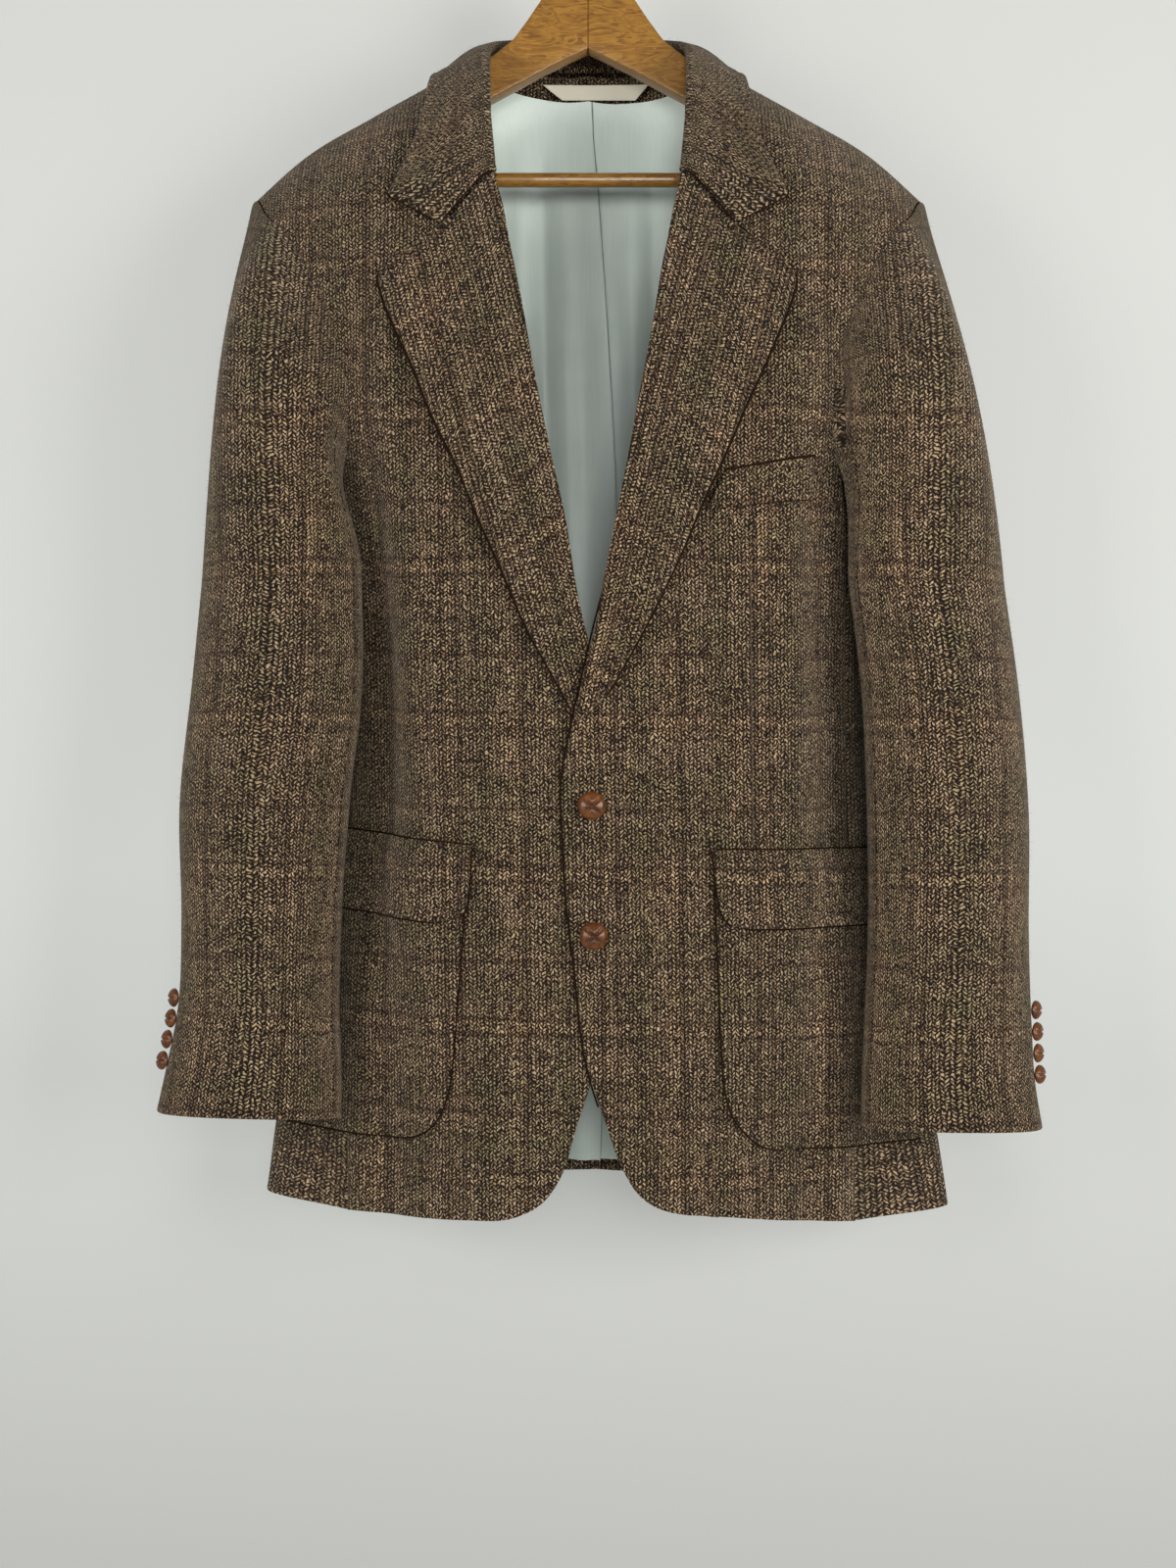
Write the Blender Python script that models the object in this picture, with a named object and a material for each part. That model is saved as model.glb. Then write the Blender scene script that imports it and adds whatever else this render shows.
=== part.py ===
"""Tweed hacking jacket, buttoned, hanging on a flat wooden hanger.

Metres, +Z up, +X to the wearer's left, -Y to the front.  The origin is the seat
of the hook, where a rail carries it.  Left and right are the wearer's.
"""
import math

import bmesh
import bpy
import numpy as np
from mathutils import Matrix, Vector

for old in list(bpy.data.objects):
    bpy.data.objects.remove(old)

MM = 0.001
WALL = 2.4 * MM            # tweed with its canvas
LINING_WALL = 1.2 * MM
SEAM = 0.3 * MM            # gap between pieces at a seam
HALF_SEAM = SEAM / 2
LAYER = 0.35 * MM          # gap between a panel and what lies on it
FRONT, BACK = 0, 1


def table(columns, *rows):
    """A small table in millimetres, as one array in metres for each named column."""
    values = np.array(rows, dtype=float) * MM
    return {name: values[:, i] for i, name in enumerate(columns.split())}


def smooth(keys, values, at):
    """Cubic curve through the rows of a table; the keys rise or fall."""
    if keys[0] > keys[-1]:
        keys, values = keys[::-1], values[::-1]
    slopes = np.gradient(values, keys)
    i = np.clip(np.searchsorted(keys, at) - 1, 0, len(keys) - 2)
    gap = keys[i + 1] - keys[i]
    s = np.clip((at - keys[i]) / gap, 0, 1)
    start, end = values[i], values[i + 1]
    return (start * (1 + 2 * s) * (1 - s) ** 2 + end * s * s * (3 - 2 * s)
            + gap * s * (1 - s) * (slopes[i] * (1 - s) - slopes[i + 1] * s))


def ease(x, low, high):
    """0 below low, 1 above high, smooth between them; low may be above high."""
    s = np.clip((x - low) / (high - low), 0, 1)
    return s * s * (3 - 2 * s)


# ---------------------------------------------------------------------------
# The hanging body.  Each row is a level section through half of the jacket:
# front   y at the centre front         edge_r, edge_l, edge_y   where the front turns
# side_r, side_l, side_y  widest point  nape_x, nape_y           where the back turns
# back    y at the centre back          (_r and _l: wearer's right and left)
# ---------------------------------------------------------------------------
BODY = table(
    "z     front edge_r edge_l edge_y side_r side_l side_y nape_x nape_y back",
    (-60,  -40,  120,   122,   -30,   235,   238,   4,     150,   38,    42),
    (-150, -50,  140,   142,   -40,   265,   268,   4,     180,   38,    44),
    (-235, -66,  166,   170,   -52,   285,   288,   4,     205,   38,    47),
    (-310, -79,  160,   166,   -64,   262,   266,   2,     196,   38,    48),
    (-385, -86,  154,   162,   -69,   222,   230,   4,     187,   39,    48),
    (-460, -87,  146,   160,   -66,   204,   216,   10,    184,   40,    46),
    (-560, -84,  138,   158,   -60,   198,   212,   18,    182,   38,    42),
    (-660, -81,  138,   160,   -54,   198,   214,   20,    183,   38,    40),
    (-760, -78,  142,   162,   -48,   210,   226,   20,    192,   40,    42),
    (-860, -74,  150,   164,   -40,   224,   240,   18,    202,   43,    46),
    (-945, -72,  160,   172,   -36,   235,   252,   10,    208,   44,    49),
)
# The shoulder line from the neck to the sleeve head
SHOULDER = table(
    "x    z",
    (0,   -98),
    (35,  -106),
    (72,  -126),
    (108, -149),
    (150, -172),
    (200, -201),
    (238, -234),
    (270, -262),
)
RIDGE_Y = 2 * MM                       # the shoulder seam runs just behind the hanger
ROUND_OVER = (72 * MM, 62 * MM)        # height over which front and back close at the shoulder


def body_row(side, z):
    """The seven control points of a half section at each z, with a mirrored one at each end."""
    hand = "l" if side > 0 else "r"
    get = {name: smooth(BODY["z"], BODY[name], z) for name in BODY if name != "z"}
    edge_x, edge_y = get["edge_" + hand], get["edge_y"]
    side_x, nape_x = get["side_" + hand], get["nape_x"]
    front, back, nape_y = get["front"], get["back"], get["nape_y"]
    xs = [-0.6 * edge_x, 0 * z, 0.6 * edge_x, edge_x, side_x, nape_x, 0.5 * nape_x, 0 * z, -0.5 * nape_x]
    near_front = front + 0.16 * (edge_y - front)
    near_back = back + 0.12 * (nape_y - back)
    ys = [near_front, front, near_front, edge_y, get["side_y"], nape_y, near_back, back, near_back]
    return np.array(xs), np.array(ys)


def section(side, t, z):
    """x and y at t = 0 (centre front) to 6 (centre back) of the half section at z."""
    xs, ys = body_row(side, z)
    i = np.clip(t.astype(int), 0, 5)
    s = t - i
    n = np.arange(len(t))
    weights = (-0.5 * s + s ** 2 - 0.5 * s ** 3, 1 - 2.5 * s ** 2 + 1.5 * s ** 3,
               0.5 * s + 2 * s ** 2 - 1.5 * s ** 3, -0.5 * s ** 2 + 0.5 * s ** 3)
    x = sum(w * xs[i + k, n] for k, w in enumerate(weights))
    y = sum(w * ys[i + k, n] for k, w in enumerate(weights))
    return x, y


LEVELS = np.linspace(-0.960, -0.060, 91)
STEPS = np.linspace(0, 6, 181)
SHARES = np.linspace(0, 1, 201)        # share of the half girth
ACROSS = np.linspace(0, 0.26, 105)      # x measured straight across


def measure(side):
    """Tables that turn cloth length, or x, into t at every level, and each level's half girth."""
    by_share, by_front, by_back, halves = [], [], [], []
    for z in LEVELS:
        x, y = section(side, STEPS, np.full(len(STEPS), z))
        run = np.concatenate([[0], np.cumsum(np.hypot(np.diff(x), np.diff(y)))])
        widest = int(np.argmax(x))
        by_share.append(np.interp(SHARES * run[-1], run, STEPS))
        by_front.append(np.interp(ACROSS, x[:widest + 1], run[:widest + 1]))
        by_back.append(np.interp(ACROSS, x[widest:][::-1], run[-1] - run[widest:][::-1]))
        halves.append(run[-1])
    return {"t": np.array(by_share), "front": np.array(by_front), "back": np.array(by_back),
            "half": np.array(halves)}


TAPE = {side: measure(side) for side in (-1, 1)}


def look_up(grid, columns, at, z):
    """Bilinear value of a grid of LEVELS x columns."""
    row = np.clip((z - LEVELS[0]) / (LEVELS[1] - LEVELS[0]), 0, len(LEVELS) - 1.001)
    col = np.clip((at - columns[0]) / (columns[1] - columns[0]), 0, len(columns) - 1.001)
    r, c = row.astype(int), col.astype(int)
    fr, fc = row - r, col - c
    return ((grid[r, c] * (1 - fc) + grid[r, c + 1] * fc) * (1 - fr)
            + (grid[r + 1, c] * (1 - fc) + grid[r + 1, c + 1] * fc) * fr)


def girth_at(side, x, z, face=FRONT):
    """Cloth length from the centre front (or back) to where the section reaches x."""
    return look_up(TAPE[side]["front" if face == FRONT else "back"], ACROSS, x, z)


def half_girth(side, z):
    return np.interp(z, LEVELS, TAPE[side]["half"])


def t_at(side, girth, z, face=FRONT):
    share = np.abs(girth) / half_girth(side, z)
    return look_up(TAPE[side]["t"], SHARES, share if face == FRONT else 1 - share, z)


def shoulder_z(x):
    return smooth(SHOULDER["x"], SHOULDER["z"], np.abs(x))


def fall_of(x, z, face=FRONT):
    """Cloth length down from the shoulder line to height z."""
    over = ROUND_OVER[face]
    drop = shoulder_z(x) - z
    return over * np.arccos(1 - np.clip(drop / over, 0, 1)) + np.maximum(drop - over, 0)


# Soft vertical folds: where they lie along the girth, how wide, how deep, and from which
# height to which they fade in
FOLDS = {
    FRONT: table(
        "girth width depth fade_in full",
        (58,   30,   2.0,  -720,   -930),
        (118,  26,   -3.0, -700,   -900),
        (150,  16,   -3.0, -380,   -480),
        (172,  22,   3.0,  -640,   -900),
    ),
    BACK: table(
        "girth width depth fade_in full",
        (45,   26,   3.0,  -560,   -900),
        (98,   30,   -4.0, -420,   -860),
        (138,  22,   4.0,  -380,   -880),
    ),
}


def fold_depth(girth, z, face):
    rows = zip(*(FOLDS[face][name] for name in ("girth", "width", "depth", "fade_in", "full")))
    return sum(depth * np.exp(-((girth - at) / width) ** 2) * ease(z, start, full)
               for at, width, depth, start, full in rows)


def lap_lift(side, girth, z):
    """How far the left forepart stands off the right one: over its edge, and over its lapel."""
    if side < 0:
        return 0 * z
    over_edge = 3.2 * MM * ease(z, -0.440, -0.510) * (1 - ease(girth, 0.030, 0.085))
    over_lapel = 3.6 * MM * ease(z, -0.460, -0.515) * ease(z, -0.655, -0.615)
    return over_edge + over_lapel * (1 - ease(girth, 0.022, 0.070))


def bare_point(side, girth, fall, face):
    """The outer face of the cloth, before any lift, as an (n, 3) array."""
    over = ROUND_OVER[face]
    rounded = np.clip(fall / over, 0, math.pi / 2)
    drop = over * (1 - np.cos(rounded)) + np.maximum(fall - over * math.pi / 2, 0)
    x = np.minimum(np.abs(girth), 0.2)
    for _ in range(5):
        z = shoulder_z(x) - drop
        x, y = section(side, t_at(side, girth, z, face), z)
    y = RIDGE_Y + (y - RIDGE_Y) * np.sin(rounded)
    x = np.where(girth < 0, -x, x) * side
    return np.stack([x, y, z], axis=1)


def cloth_point(side, girth, fall, face=FRONT, lift=0.0):
    """A point of the hanging cloth, moved out of it by lift."""
    step = 0.8 * MM
    here = bare_point(side, girth, fall, face)
    low = np.maximum(fall - step, 0)
    along = bare_point(side, girth + step, fall, face) - bare_point(side, girth - step, fall, face)
    down = bare_point(side, girth, fall + step, face) - bare_point(side, girth, low, face)
    normal = np.cross(down, along) * (side if face == FRONT else -side)
    normal /= np.linalg.norm(normal, axis=1)[:, None]
    out = lift + fold_depth(np.abs(girth), here[:, 2], face)
    if face == FRONT:
        out = out + lap_lift(side, girth, here[:, 2])
    return here + normal * np.reshape(out, (-1, 1))


def at_height(side, girth, z, face=FRONT, lift=0.0):
    """A point of the cloth given by its girth and its height."""
    x, _ = section(side, t_at(side, girth, z, face), z)
    return cloth_point(side, girth, fall_of(x, z, face), face, lift)


def hang_skew(points):
    """The jacket hangs a little towards the wearer's left, and lower on that side."""
    x, y, z = points.T
    low = ease(z, -0.30, -0.94)
    shifted = x + 6 * MM * low
    lowered = z - 0.020 * x * low
    return np.stack([shifted, y, lowered], axis=1)


class Outline:
    """A smooth edge through rows of (x, z) on one half of the cloth, read by 0..1."""

    def __init__(self, side, rows, face=FRONT, spacing=None):
        x = np.array([row[0] for row in rows]) * MM
        z = np.array([row[1] for row in rows]) * MM
        length = np.concatenate([[0], np.cumsum(np.hypot(np.diff(x), np.diff(z)))])
        self.at = np.array(spacing, dtype=float) if spacing is not None else length / length[-1]
        self.girth = np.sign(x) * girth_at(side, np.abs(x), z, face)
        self.fall = fall_of(np.abs(x), z, face)
        self.x, self.z = x, z

    def read(self, b):
        return smooth(self.at, self.girth, b), smooth(self.at, self.fall, b)


# ---------------------------------------------------------------------------
# Making the pieces
# ---------------------------------------------------------------------------
jacket = bpy.data.collections.new("tweed_jacket_on_hanger")
bpy.context.scene.collection.children.link(jacket)


def finish(name, colour, roughness, metallic=0.0):
    material = bpy.data.materials.new(name)
    material.use_nodes = True
    surface = material.node_tree.nodes["Principled BSDF"]
    surface.inputs["Base Color"].default_value = (*colour, 1)
    surface.inputs["Roughness"].default_value = roughness
    surface.inputs["Metallic"].default_value = metallic
    return material


TWEED = finish("tweed", (0.080, 0.055, 0.036), 0.95)
LINING = finish("lining", (0.36, 0.42, 0.39), 0.5)
LABEL = finish("label", (0.72, 0.68, 0.56), 0.6)
LEATHER = finish("leather", (0.16, 0.055, 0.018), 0.4)
WOOD = finish("wood", (0.45, 0.22, 0.06), 0.4)
STEEL = finish("steel", (0.55, 0.55, 0.55), 0.3, 1.0)


def place_mesh(name, bm, material):
    mesh = bpy.data.meshes.new(name)
    bm.to_mesh(mesh)
    bm.free()
    mesh.materials.append(material)
    mesh.shade_smooth()
    made = bpy.data.objects.new(name, mesh)
    jacket.objects.link(made)
    return made


def out_of(surface, a, b, flip):
    """Unit normals of a surface at grid places, from its own slopes."""
    step = 0.002
    across = surface(np.minimum(a + step, 1), b) - surface(np.maximum(a - step, 0), b)
    along = surface(a, np.minimum(b + step, 1)) - surface(a, np.maximum(b - step, 0))
    normal = np.cross(across, along) * (-1 if flip else 1)
    return normal / np.linalg.norm(normal, axis=1)[:, None]


def cloth(name, surface, across, along, material=TWEED, wall=WALL, flip=False, outward=False):
    """A walled sheet: surface turns grid places (0..1, 0..1) into points of its outer face,
    or of its inner face where the wall is built outward."""
    bm = bmesh.new()
    bmesh.ops.create_grid(bm, x_segments=across, y_segments=along, size=0.5)
    sheet = set(bm.verts)
    bmesh.ops.extrude_face_region(bm, geom=list(bm.faces), use_keep_orig=True)
    for is_copy, shift in ((False, 0), (True, wall if outward else -wall)):
        verts = [vert for vert in bm.verts if (vert not in sheet) == is_copy]
        a, b = np.array([vert.co[:2] for vert in verts]).T + 0.5
        points = surface(a, b) + shift * out_of(surface, a, b, flip)
        for vert, point in zip(verts, hang_skew(points)):
            vert.co = point
    bmesh.ops.recalc_face_normals(bm, faces=bm.faces)
    return place_mesh(name, bm, material)


HANDS = {1: "left", -1: "right"}

# ---------------------------------------------------------------------------
# Foreparts: each row runs from the front edge or roll line (in) to the side seam or
# armhole (out), hem to shoulder
# ---------------------------------------------------------------------------
FOREPART = {
    1: (
        (78, -929, 176, -940),
        (56, -928, 176, -929),
        (40, -924, 176, -917),
        (27, -915, 176, -901),
        (16, -897, 176, -885),
        (6, -869, 176, -864),
        (-4, -838, 176, -838),
        (-14, -760, 176, -768),
        (-18, -722, 176, -724),
        (-20, -680, 176, -682),
        (-20, -640, 176, -640),
        (-14, -608, 176, -606),
        (-2, -557, 176, -563),
        (13, -500, 176, -520),
        (24, -452, 176, -480),
        (34, -398, 171, -432),
        (44, -341, 166, -391),
        (53, -284, 173, -347),
        (65, -238, 190, -302),
        (71.5, -196, 212, -264),
        (77, -160, 227, -246),
        (82.5, -132, 238, -233),
    ),
    -1: (
        (83, -936, 170, -940),
        (62, -935, 170, -930),
        (47, -930, 170, -918),
        (35, -922, 170, -902),
        (24, -906, 170, -887),
        (13, -871, 170, -864),
        (4, -844, 170, -838),
        (-10, -785, 170, -785),
        (-19, -722, 170, -724),
        (-21, -680, 170, -682),
        (-21, -645, 170, -645),
        (-17, -612, 170, -608),
        (5, -557, 170, -563),
        (16, -492, 170, -515),
        (26, -440, 170, -474),
        (35, -394, 168, -430),
        (44, -341, 164, -388),
        (53, -286, 171, -345),
        (65, -238, 188, -300),
        (71.5, -196, 211, -263),
        (77, -160, 226, -246),
        (82.5, -132, 237, -232),
    ),
}


def row_spacing(rows):
    """Shares the rows out by the mean length of their two edges."""
    run = [0.0]
    for low, high in zip(rows, rows[1:]):
        run.append(run[-1] + math.dist(low[:2], high[:2]) + math.dist(low[2:], high[2:]))
    return [length / run[-1] for length in run]


class Panel:
    """A piece of the hanging cloth, ruled between two edges."""

    def __init__(self, side, rows, face=FRONT):
        spacing = row_spacing(rows)
        self.side, self.face = side, face
        self.inner = Outline(side, [row[:2] for row in rows], face, spacing)
        self.outer = Outline(side, [row[2:] for row in rows], face, spacing)

    def place(self, a, b):
        """Girth and fall at (a, b); low rows run level, the top rows follow the shoulder."""
        girth_in, fall_in = self.inner.read(b)
        girth_out, fall_out = self.outer.read(b)
        girth = girth_in + (girth_out - girth_in) * a
        fall_high = fall_in + (fall_out - fall_in) * a
        edges = [smooth(edge.at, values, b) for edge in (self.inner, self.outer)
                 for values in (edge.x, edge.z)]
        x = edges[0] + (edges[2] - edges[0]) * a
        z = edges[1] + (edges[3] - edges[1]) * a
        level = ease(fall_high, 0.10, 0.20)
        fall = fall_high * (1 - level) + fall_of(np.abs(x), z, self.face) * level
        return girth, np.maximum(fall, HALF_SEAM)

    def point(self, a, b, lift=0.0):
        girth, fall = self.place(a, b)
        return cloth_point(self.side, girth, fall, self.face, lift)


def within(a, trim=HALF_SEAM, width=0.16):
    """Draws 0..1 in by half a seam at each end of a width."""
    return trim / width + a * (1 - 2 * trim / width)


def closer_above(b, power):
    """Sets rows closer together towards the shoulder, where the cloth curves most."""
    return 1 - (1 - b) ** power


foreparts = {side: Panel(side, rows) for side, rows in FOREPART.items()}


def make_forepart(side):
    panel = foreparts[side]
    cloth("front_" + HANDS[side],
          lambda a, b: panel.point(within(a), within(closer_above(b, 1.3), width=1.0)),
          across=12, along=30, flip=side < 0)


for side in HANDS:
    make_forepart(side)


# ---------------------------------------------------------------------------
# Side bodies and backs
# ---------------------------------------------------------------------------
FRONT_SEAM_X = {1: 176 * MM, -1: 170 * MM}
BACK_SEAM_X = 180 * MM
ARMHOLE_FRONT_Z = {1: -432 * MM, -1: -430 * MM}
ARMHOLE_LOW_Z = -466 * MM
ARMHOLE_BACK_Z = -420 * MM
SIDE_HEM_Z = (-940 * MM, -937 * MM)

BACK_ROWS = (
    (0, -926, 180, -937),
    (0, -850, 180, -850),
    (0, -700, 180, -700),
    (0, -560, 180, -570),
    (0, -440, 180, -470),
    (0, -390, 180, -420),
    (0, -330, 177, -372),
    (0, -270, 180, -330),
    (0, -205, 192, -290),
    (0, -160, 212, -257),
    (0, -126, 227, -243),
    (0, -98, 238, -233),
)
BACK_CLOSER = 1.5
NECK_HALF = 82 * MM        # the back neck curve, from the shoulder seam
NECK_DIP = 62 * MM         # to the centre back, measured down the cloth


def side_point(side, a, b, lift=0.0):
    """The side body: a from the front seam to the back seam, b from the hem to the armhole."""
    sag = 4 * a * (1 - a)
    corner = ARMHOLE_FRONT_Z[side] + (ARMHOLE_BACK_Z - ARMHOLE_FRONT_Z[side]) * a
    top = corner + (ARMHOLE_LOW_Z - (ARMHOLE_FRONT_Z[side] + ARMHOLE_BACK_Z) / 2) * sag
    hem = SIDE_HEM_Z[0] + (SIDE_HEM_Z[1] - SIDE_HEM_Z[0]) * a
    z = hem + (top - hem) * b
    start = girth_at(side, np.full(len(z), FRONT_SEAM_X[side]), z)
    end = half_girth(side, z) - girth_at(side, np.full(len(z), BACK_SEAM_X), z, BACK)
    girth = start + (end - start) * a
    return at_height(side, girth, z, FRONT, lift)


class BackPanel(Panel):
    """Half of the back, its top edge cut to the shoulder seam and the back neck."""

    def place(self, a, b):
        girth, fall = super().place(a, b)
        dip = NECK_DIP * (1 - np.clip(girth / NECK_HALF, 0, 1) ** 2.4)
        return girth, fall + dip * (1 - ease(fall, 0, 0.16))


backs = {side: BackPanel(side, BACK_ROWS, BACK) for side in HANDS}


def make_side(side):
    cloth("side_" + HANDS[side],
          lambda a, b: side_point(side, within(a, SEAM, 0.10), within(b, width=0.50)),
          across=6, along=14, flip=side < 0)


def make_back(side):
    cloth("back_" + HANDS[side],
          lambda a, b: backs[side].point(within(a), within(closer_above(b, BACK_CLOSER), width=1.0)),
          across=10, along=24, flip=side > 0)


for side in HANDS:
    make_side(side)
    make_back(side)

# ---------------------------------------------------------------------------
# Sleeves: two pieces each, from the armhole down to the cuff.  Each row is a section:
# inner, outer  the edges nearest to and farthest from the body     y      its middle
# depth  front to back     lean  how much farther back the outer edge is than the middle
# taper  how much thinner the inner edge is, in thousandths
# ---------------------------------------------------------------------------
SLEEVE_COLUMNS = "z inner outer y depth lean taper"
SLEEVE = {
    1: table(
        SLEEVE_COLUMNS,
        (-505, 173, 290, -31, 88, 34, 600),
        (-575, 180, 297, -38, 80, 30, 550),
        (-660, 183, 300, -46, 68, 22, 450),
        (-740, 183, 296, -52, 58, 13, 300),
        (-800, 180, 295, -57, 50, 7,  180),
        (-840, 178, 296, -60, 44, 4,  100),
        (-869, 177, 300, -62, 42, 3,  60),
    ),
    -1: table(
        SLEEVE_COLUMNS,
        (-505, 153, 272, -31, 88, 34, 600),
        (-575, 153, 278, -38, 80, 30, 550),
        (-660, 163, 285, -46, 68, 22, 450),
        (-740, 170, 282, -52, 58, 13, 300),
        (-800, 172, 283, -57, 50, 7,  180),
        (-840, 171, 290, -60, 44, 4,  100),
        (-869, 171, 296, -62, 42, 3,  60),
    ),
}
ROUNDNESS = 2.4
BODY_GAP = 7.0 * MM        # least distance between sleeve and body
POCKET_STACK = 3.5 * MM    # and more of it where pocket and flap lie between them
HEAD_SHARE = 0.34          # share of a sleeve's rows that lie above its first section
FRONT_SHARE, LOW_SHARE = 0.52, 0.16    # of the armhole: up the front, and under the arm
HEAD_GAP = 1.0 * MM        # between the armhole and the coarser facets of the sleeve head
HEAD_LIFT = 1.3 * MM       # and how far it stands off the body, more so under the arm
UNDERARM_LIFT = 5.0 * MM
UNDERARM_ROOM = 4.0 * MM
FORE_SEAM, HIND_SEAM = 0.44, -0.04     # where the two sleeve seams lie round the arm


def armhole(side, turn):
    """The armhole seam at each turn: 0 at the shoulder, then down the front and up the back."""
    panel, back = foreparts[side], backs[side]
    front_low = np.interp(-ARMHOLE_FRONT_Z[side], -panel.outer.z[::-1], panel.outer.at[::-1])
    back_low = np.interp(-ARMHOLE_BACK_Z, -back.outer.z[::-1], back.outer.at[::-1])
    points = np.zeros((len(turn), 3))
    rise = (np.abs(turn / FRONT_SHARE) ** 1.2, (turn - FRONT_SHARE) / LOW_SHARE,
            1 - np.abs((1 - turn) / (1 - FRONT_SHARE - LOW_SHARE)) ** 1.2)
    beyond = 1 + HEAD_GAP / 0.16
    above = 1 + HEAD_GAP / 0.5
    front = turn < FRONT_SHARE
    rear = turn >= FRONT_SHARE + LOW_SHARE
    low = ~front & ~rear
    points[front] = panel.point(np.full(front.sum(), beyond), 1 - (1 - front_low) * rise[0][front],
                                HEAD_LIFT)
    points[low] = side_point(side, rise[1][low], np.full(low.sum(), above), UNDERARM_LIFT)
    points[rear] = back.point(np.full(rear.sum(), beyond), back_low + (1 - back_low) * rise[2][rear],
                              HEAD_LIFT)
    return points


def sleeve_ring(side, turn, z):
    """The inside of the sleeve at each turn and height."""
    rows = SLEEVE[side]
    inner, outer, middle, depth, lean, taper = (
        smooth(rows["z"], rows[name], z) for name in ("inner", "outer", "y", "depth", "lean", "taper"))
    angle = 2 * math.pi * turn
    cos, sin = np.cos(angle), np.sin(angle)
    reach = np.sign(cos) * np.abs(cos) ** (2 / ROUNDNESS)
    bulge = np.sign(sin) * np.abs(sin) ** (2 / ROUNDNESS)
    half_width = (outer - inner) / 2 - WALL
    half_depth = depth / 2 - WALL
    x = (inner + outer) / 2 + half_width * reach
    y = middle + lean * reach - half_depth * (1 + taper * reach) * bulge
    return np.stack([x * side, y, z], axis=1)


def clear_of_body(side, points):
    """Moves points that press into the body out to a small distance from it."""
    z = points[:, 2]
    steps = np.tile(np.linspace(0.5, 5.5, 120), len(z))
    x, y = section(side, steps, np.repeat(z, 120))
    outline = np.stack([x.reshape(-1, 120) * side, y.reshape(-1, 120)], axis=2)
    slope = np.gradient(outline, axis=1)
    out = np.stack([slope[:, :, 1], -slope[:, :, 0]], axis=2) * side
    out /= np.linalg.norm(out, axis=2)[:, :, None]
    apart = points[:, None, :2] - outline
    near = np.argmin(np.linalg.norm(apart, axis=2), axis=1)
    n = np.arange(len(z))
    gap = np.sum(apart[n, near] * out[n, near], axis=1)
    wanted = (BODY_GAP * ease(z, -0.425, -0.440) + POCKET_STACK * ease(z, -0.600, -0.660)
              + UNDERARM_ROOM * ease(z, -0.560, -0.500))
    push = np.where(z < -0.425, np.clip(wanted - gap, 0, 60 * MM), 0)
    points = points.copy()
    points[:, :2] += out[n, near] * push[:, None]
    return points


def sleeve_point(side, turn, t):
    """t from 0 at the armhole to 1 at the cuff; the head is drawn out and down from the armhole."""
    rows = SLEEVE[side]
    turn = turn % 1.0
    top, cuff = rows["z"][0], rows["z"][-1]
    arm = np.clip((t - HEAD_SHARE) / (1 - HEAD_SHARE), 0, 1)
    tube = sleeve_ring(side, turn, top + (cuff - top) * arm)
    seam = armhole(side, turn)
    first = sleeve_ring(side, turn, np.full(len(turn), top))
    sin = np.sin(2 * math.pi * turn)
    spread = np.abs(sin)
    above = np.maximum(np.cos(2 * math.pi * turn), 0)
    under = np.maximum(-np.cos(2 * math.pi * turn), 0)
    leave = np.stack([side * (0.30 + 0.55 * spread - above * (0.10 + 0.42 * spread)),
                      -0.45 * sin - 0.5 * under, -0.94 + 0.45 * spread], axis=1)
    span = np.linalg.norm(first - seam, axis=1)[:, None]
    s = np.clip(t / HEAD_SHARE, 0, 1)[:, None]
    hang = first + np.stack([-0.034 * side * above, 0 * above, 0 * above + 0.42], axis=1) * span
    head = (seam * (1 - s) ** 3 + 3 * (seam + 0.36 * span * leave) * s * (1 - s) ** 2
            + 3 * hang * s * s * (1 - s) + first * s ** 3)
    return clear_of_body(side, np.where(s < 1, head, tube))


def make_sleeve(side):
    gap = 1.6 * SEAM / 0.34
    spans = (("top", HIND_SEAM + gap, FORE_SEAM - gap, 12),
             ("under", FORE_SEAM + gap, 1 + HIND_SEAM - gap, 13))
    for part, start, end, across in spans:
        cloth(f"sleeve_{HANDS[side]}_{part}",
              lambda a, b: sleeve_point(side, start + (end - start) * a, 1 - b),
              across, along=18, flip=side > 0, outward=True)


for side in HANDS:
    make_sleeve(side)

# ---------------------------------------------------------------------------
# Collar: stand and fall in one, its right half, from the notch to the centre back.
# foot: lower edge of the stand inside the neck; roll: the fold; edge: of the fall
# ---------------------------------------------------------------------------
COLLAR_WALL = 2.6 * MM
COLLAR = table(
    "foot_x foot_y foot_z roll_x roll_y roll_z edge_x edge_y edge_z",
    (70,   -60.5, -236,  64,   -64.5, -232,   109,  -67,  -276),
    (71.5, -57,   -214,  66,   -60.5, -212,   134,  -59,  -250),
    (73.5, -50,   -194,  68,   -54.5, -192,   126,  -56,  -232),
    (75.3, -41,   -174,  68.8, -46.5, -171,   117,  -50,  -211),
    (76.3, -29,   -156,  70,   -33,   -150,   111,  -38,  -188),
    (78.3, -13,   -138,  71,   -17,   -134,   109,  -20,  -160),
    (80.5, 0,     -130.5,  70.5, 0,     -122,   107,  2,    -143.5),
    (73.5, 11,    -126.5,  65,   13,    -114.5, 102,  18,   -144),
    (64.5, 20,    -125.5,  57,   24.5,  -109,   91,   31,   -147),
    (52,   28.5,  -125,  46,   32,    -105.5, 74,   39.5, -150),
    (37,   33,    -125.5,  32,   37,    -103,   51,   45,   -150),
    (18.5, 35.5,  -126,  16,   39.3,  -101.7, 26,   47.2, -150),
    (0,    36.5,  -125.5,  0,    40,    -101.3, 0,    47.8, -150),
)
STAND_SHARE = 0.3          # of the collar's rows across, the rest are the fall's


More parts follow.
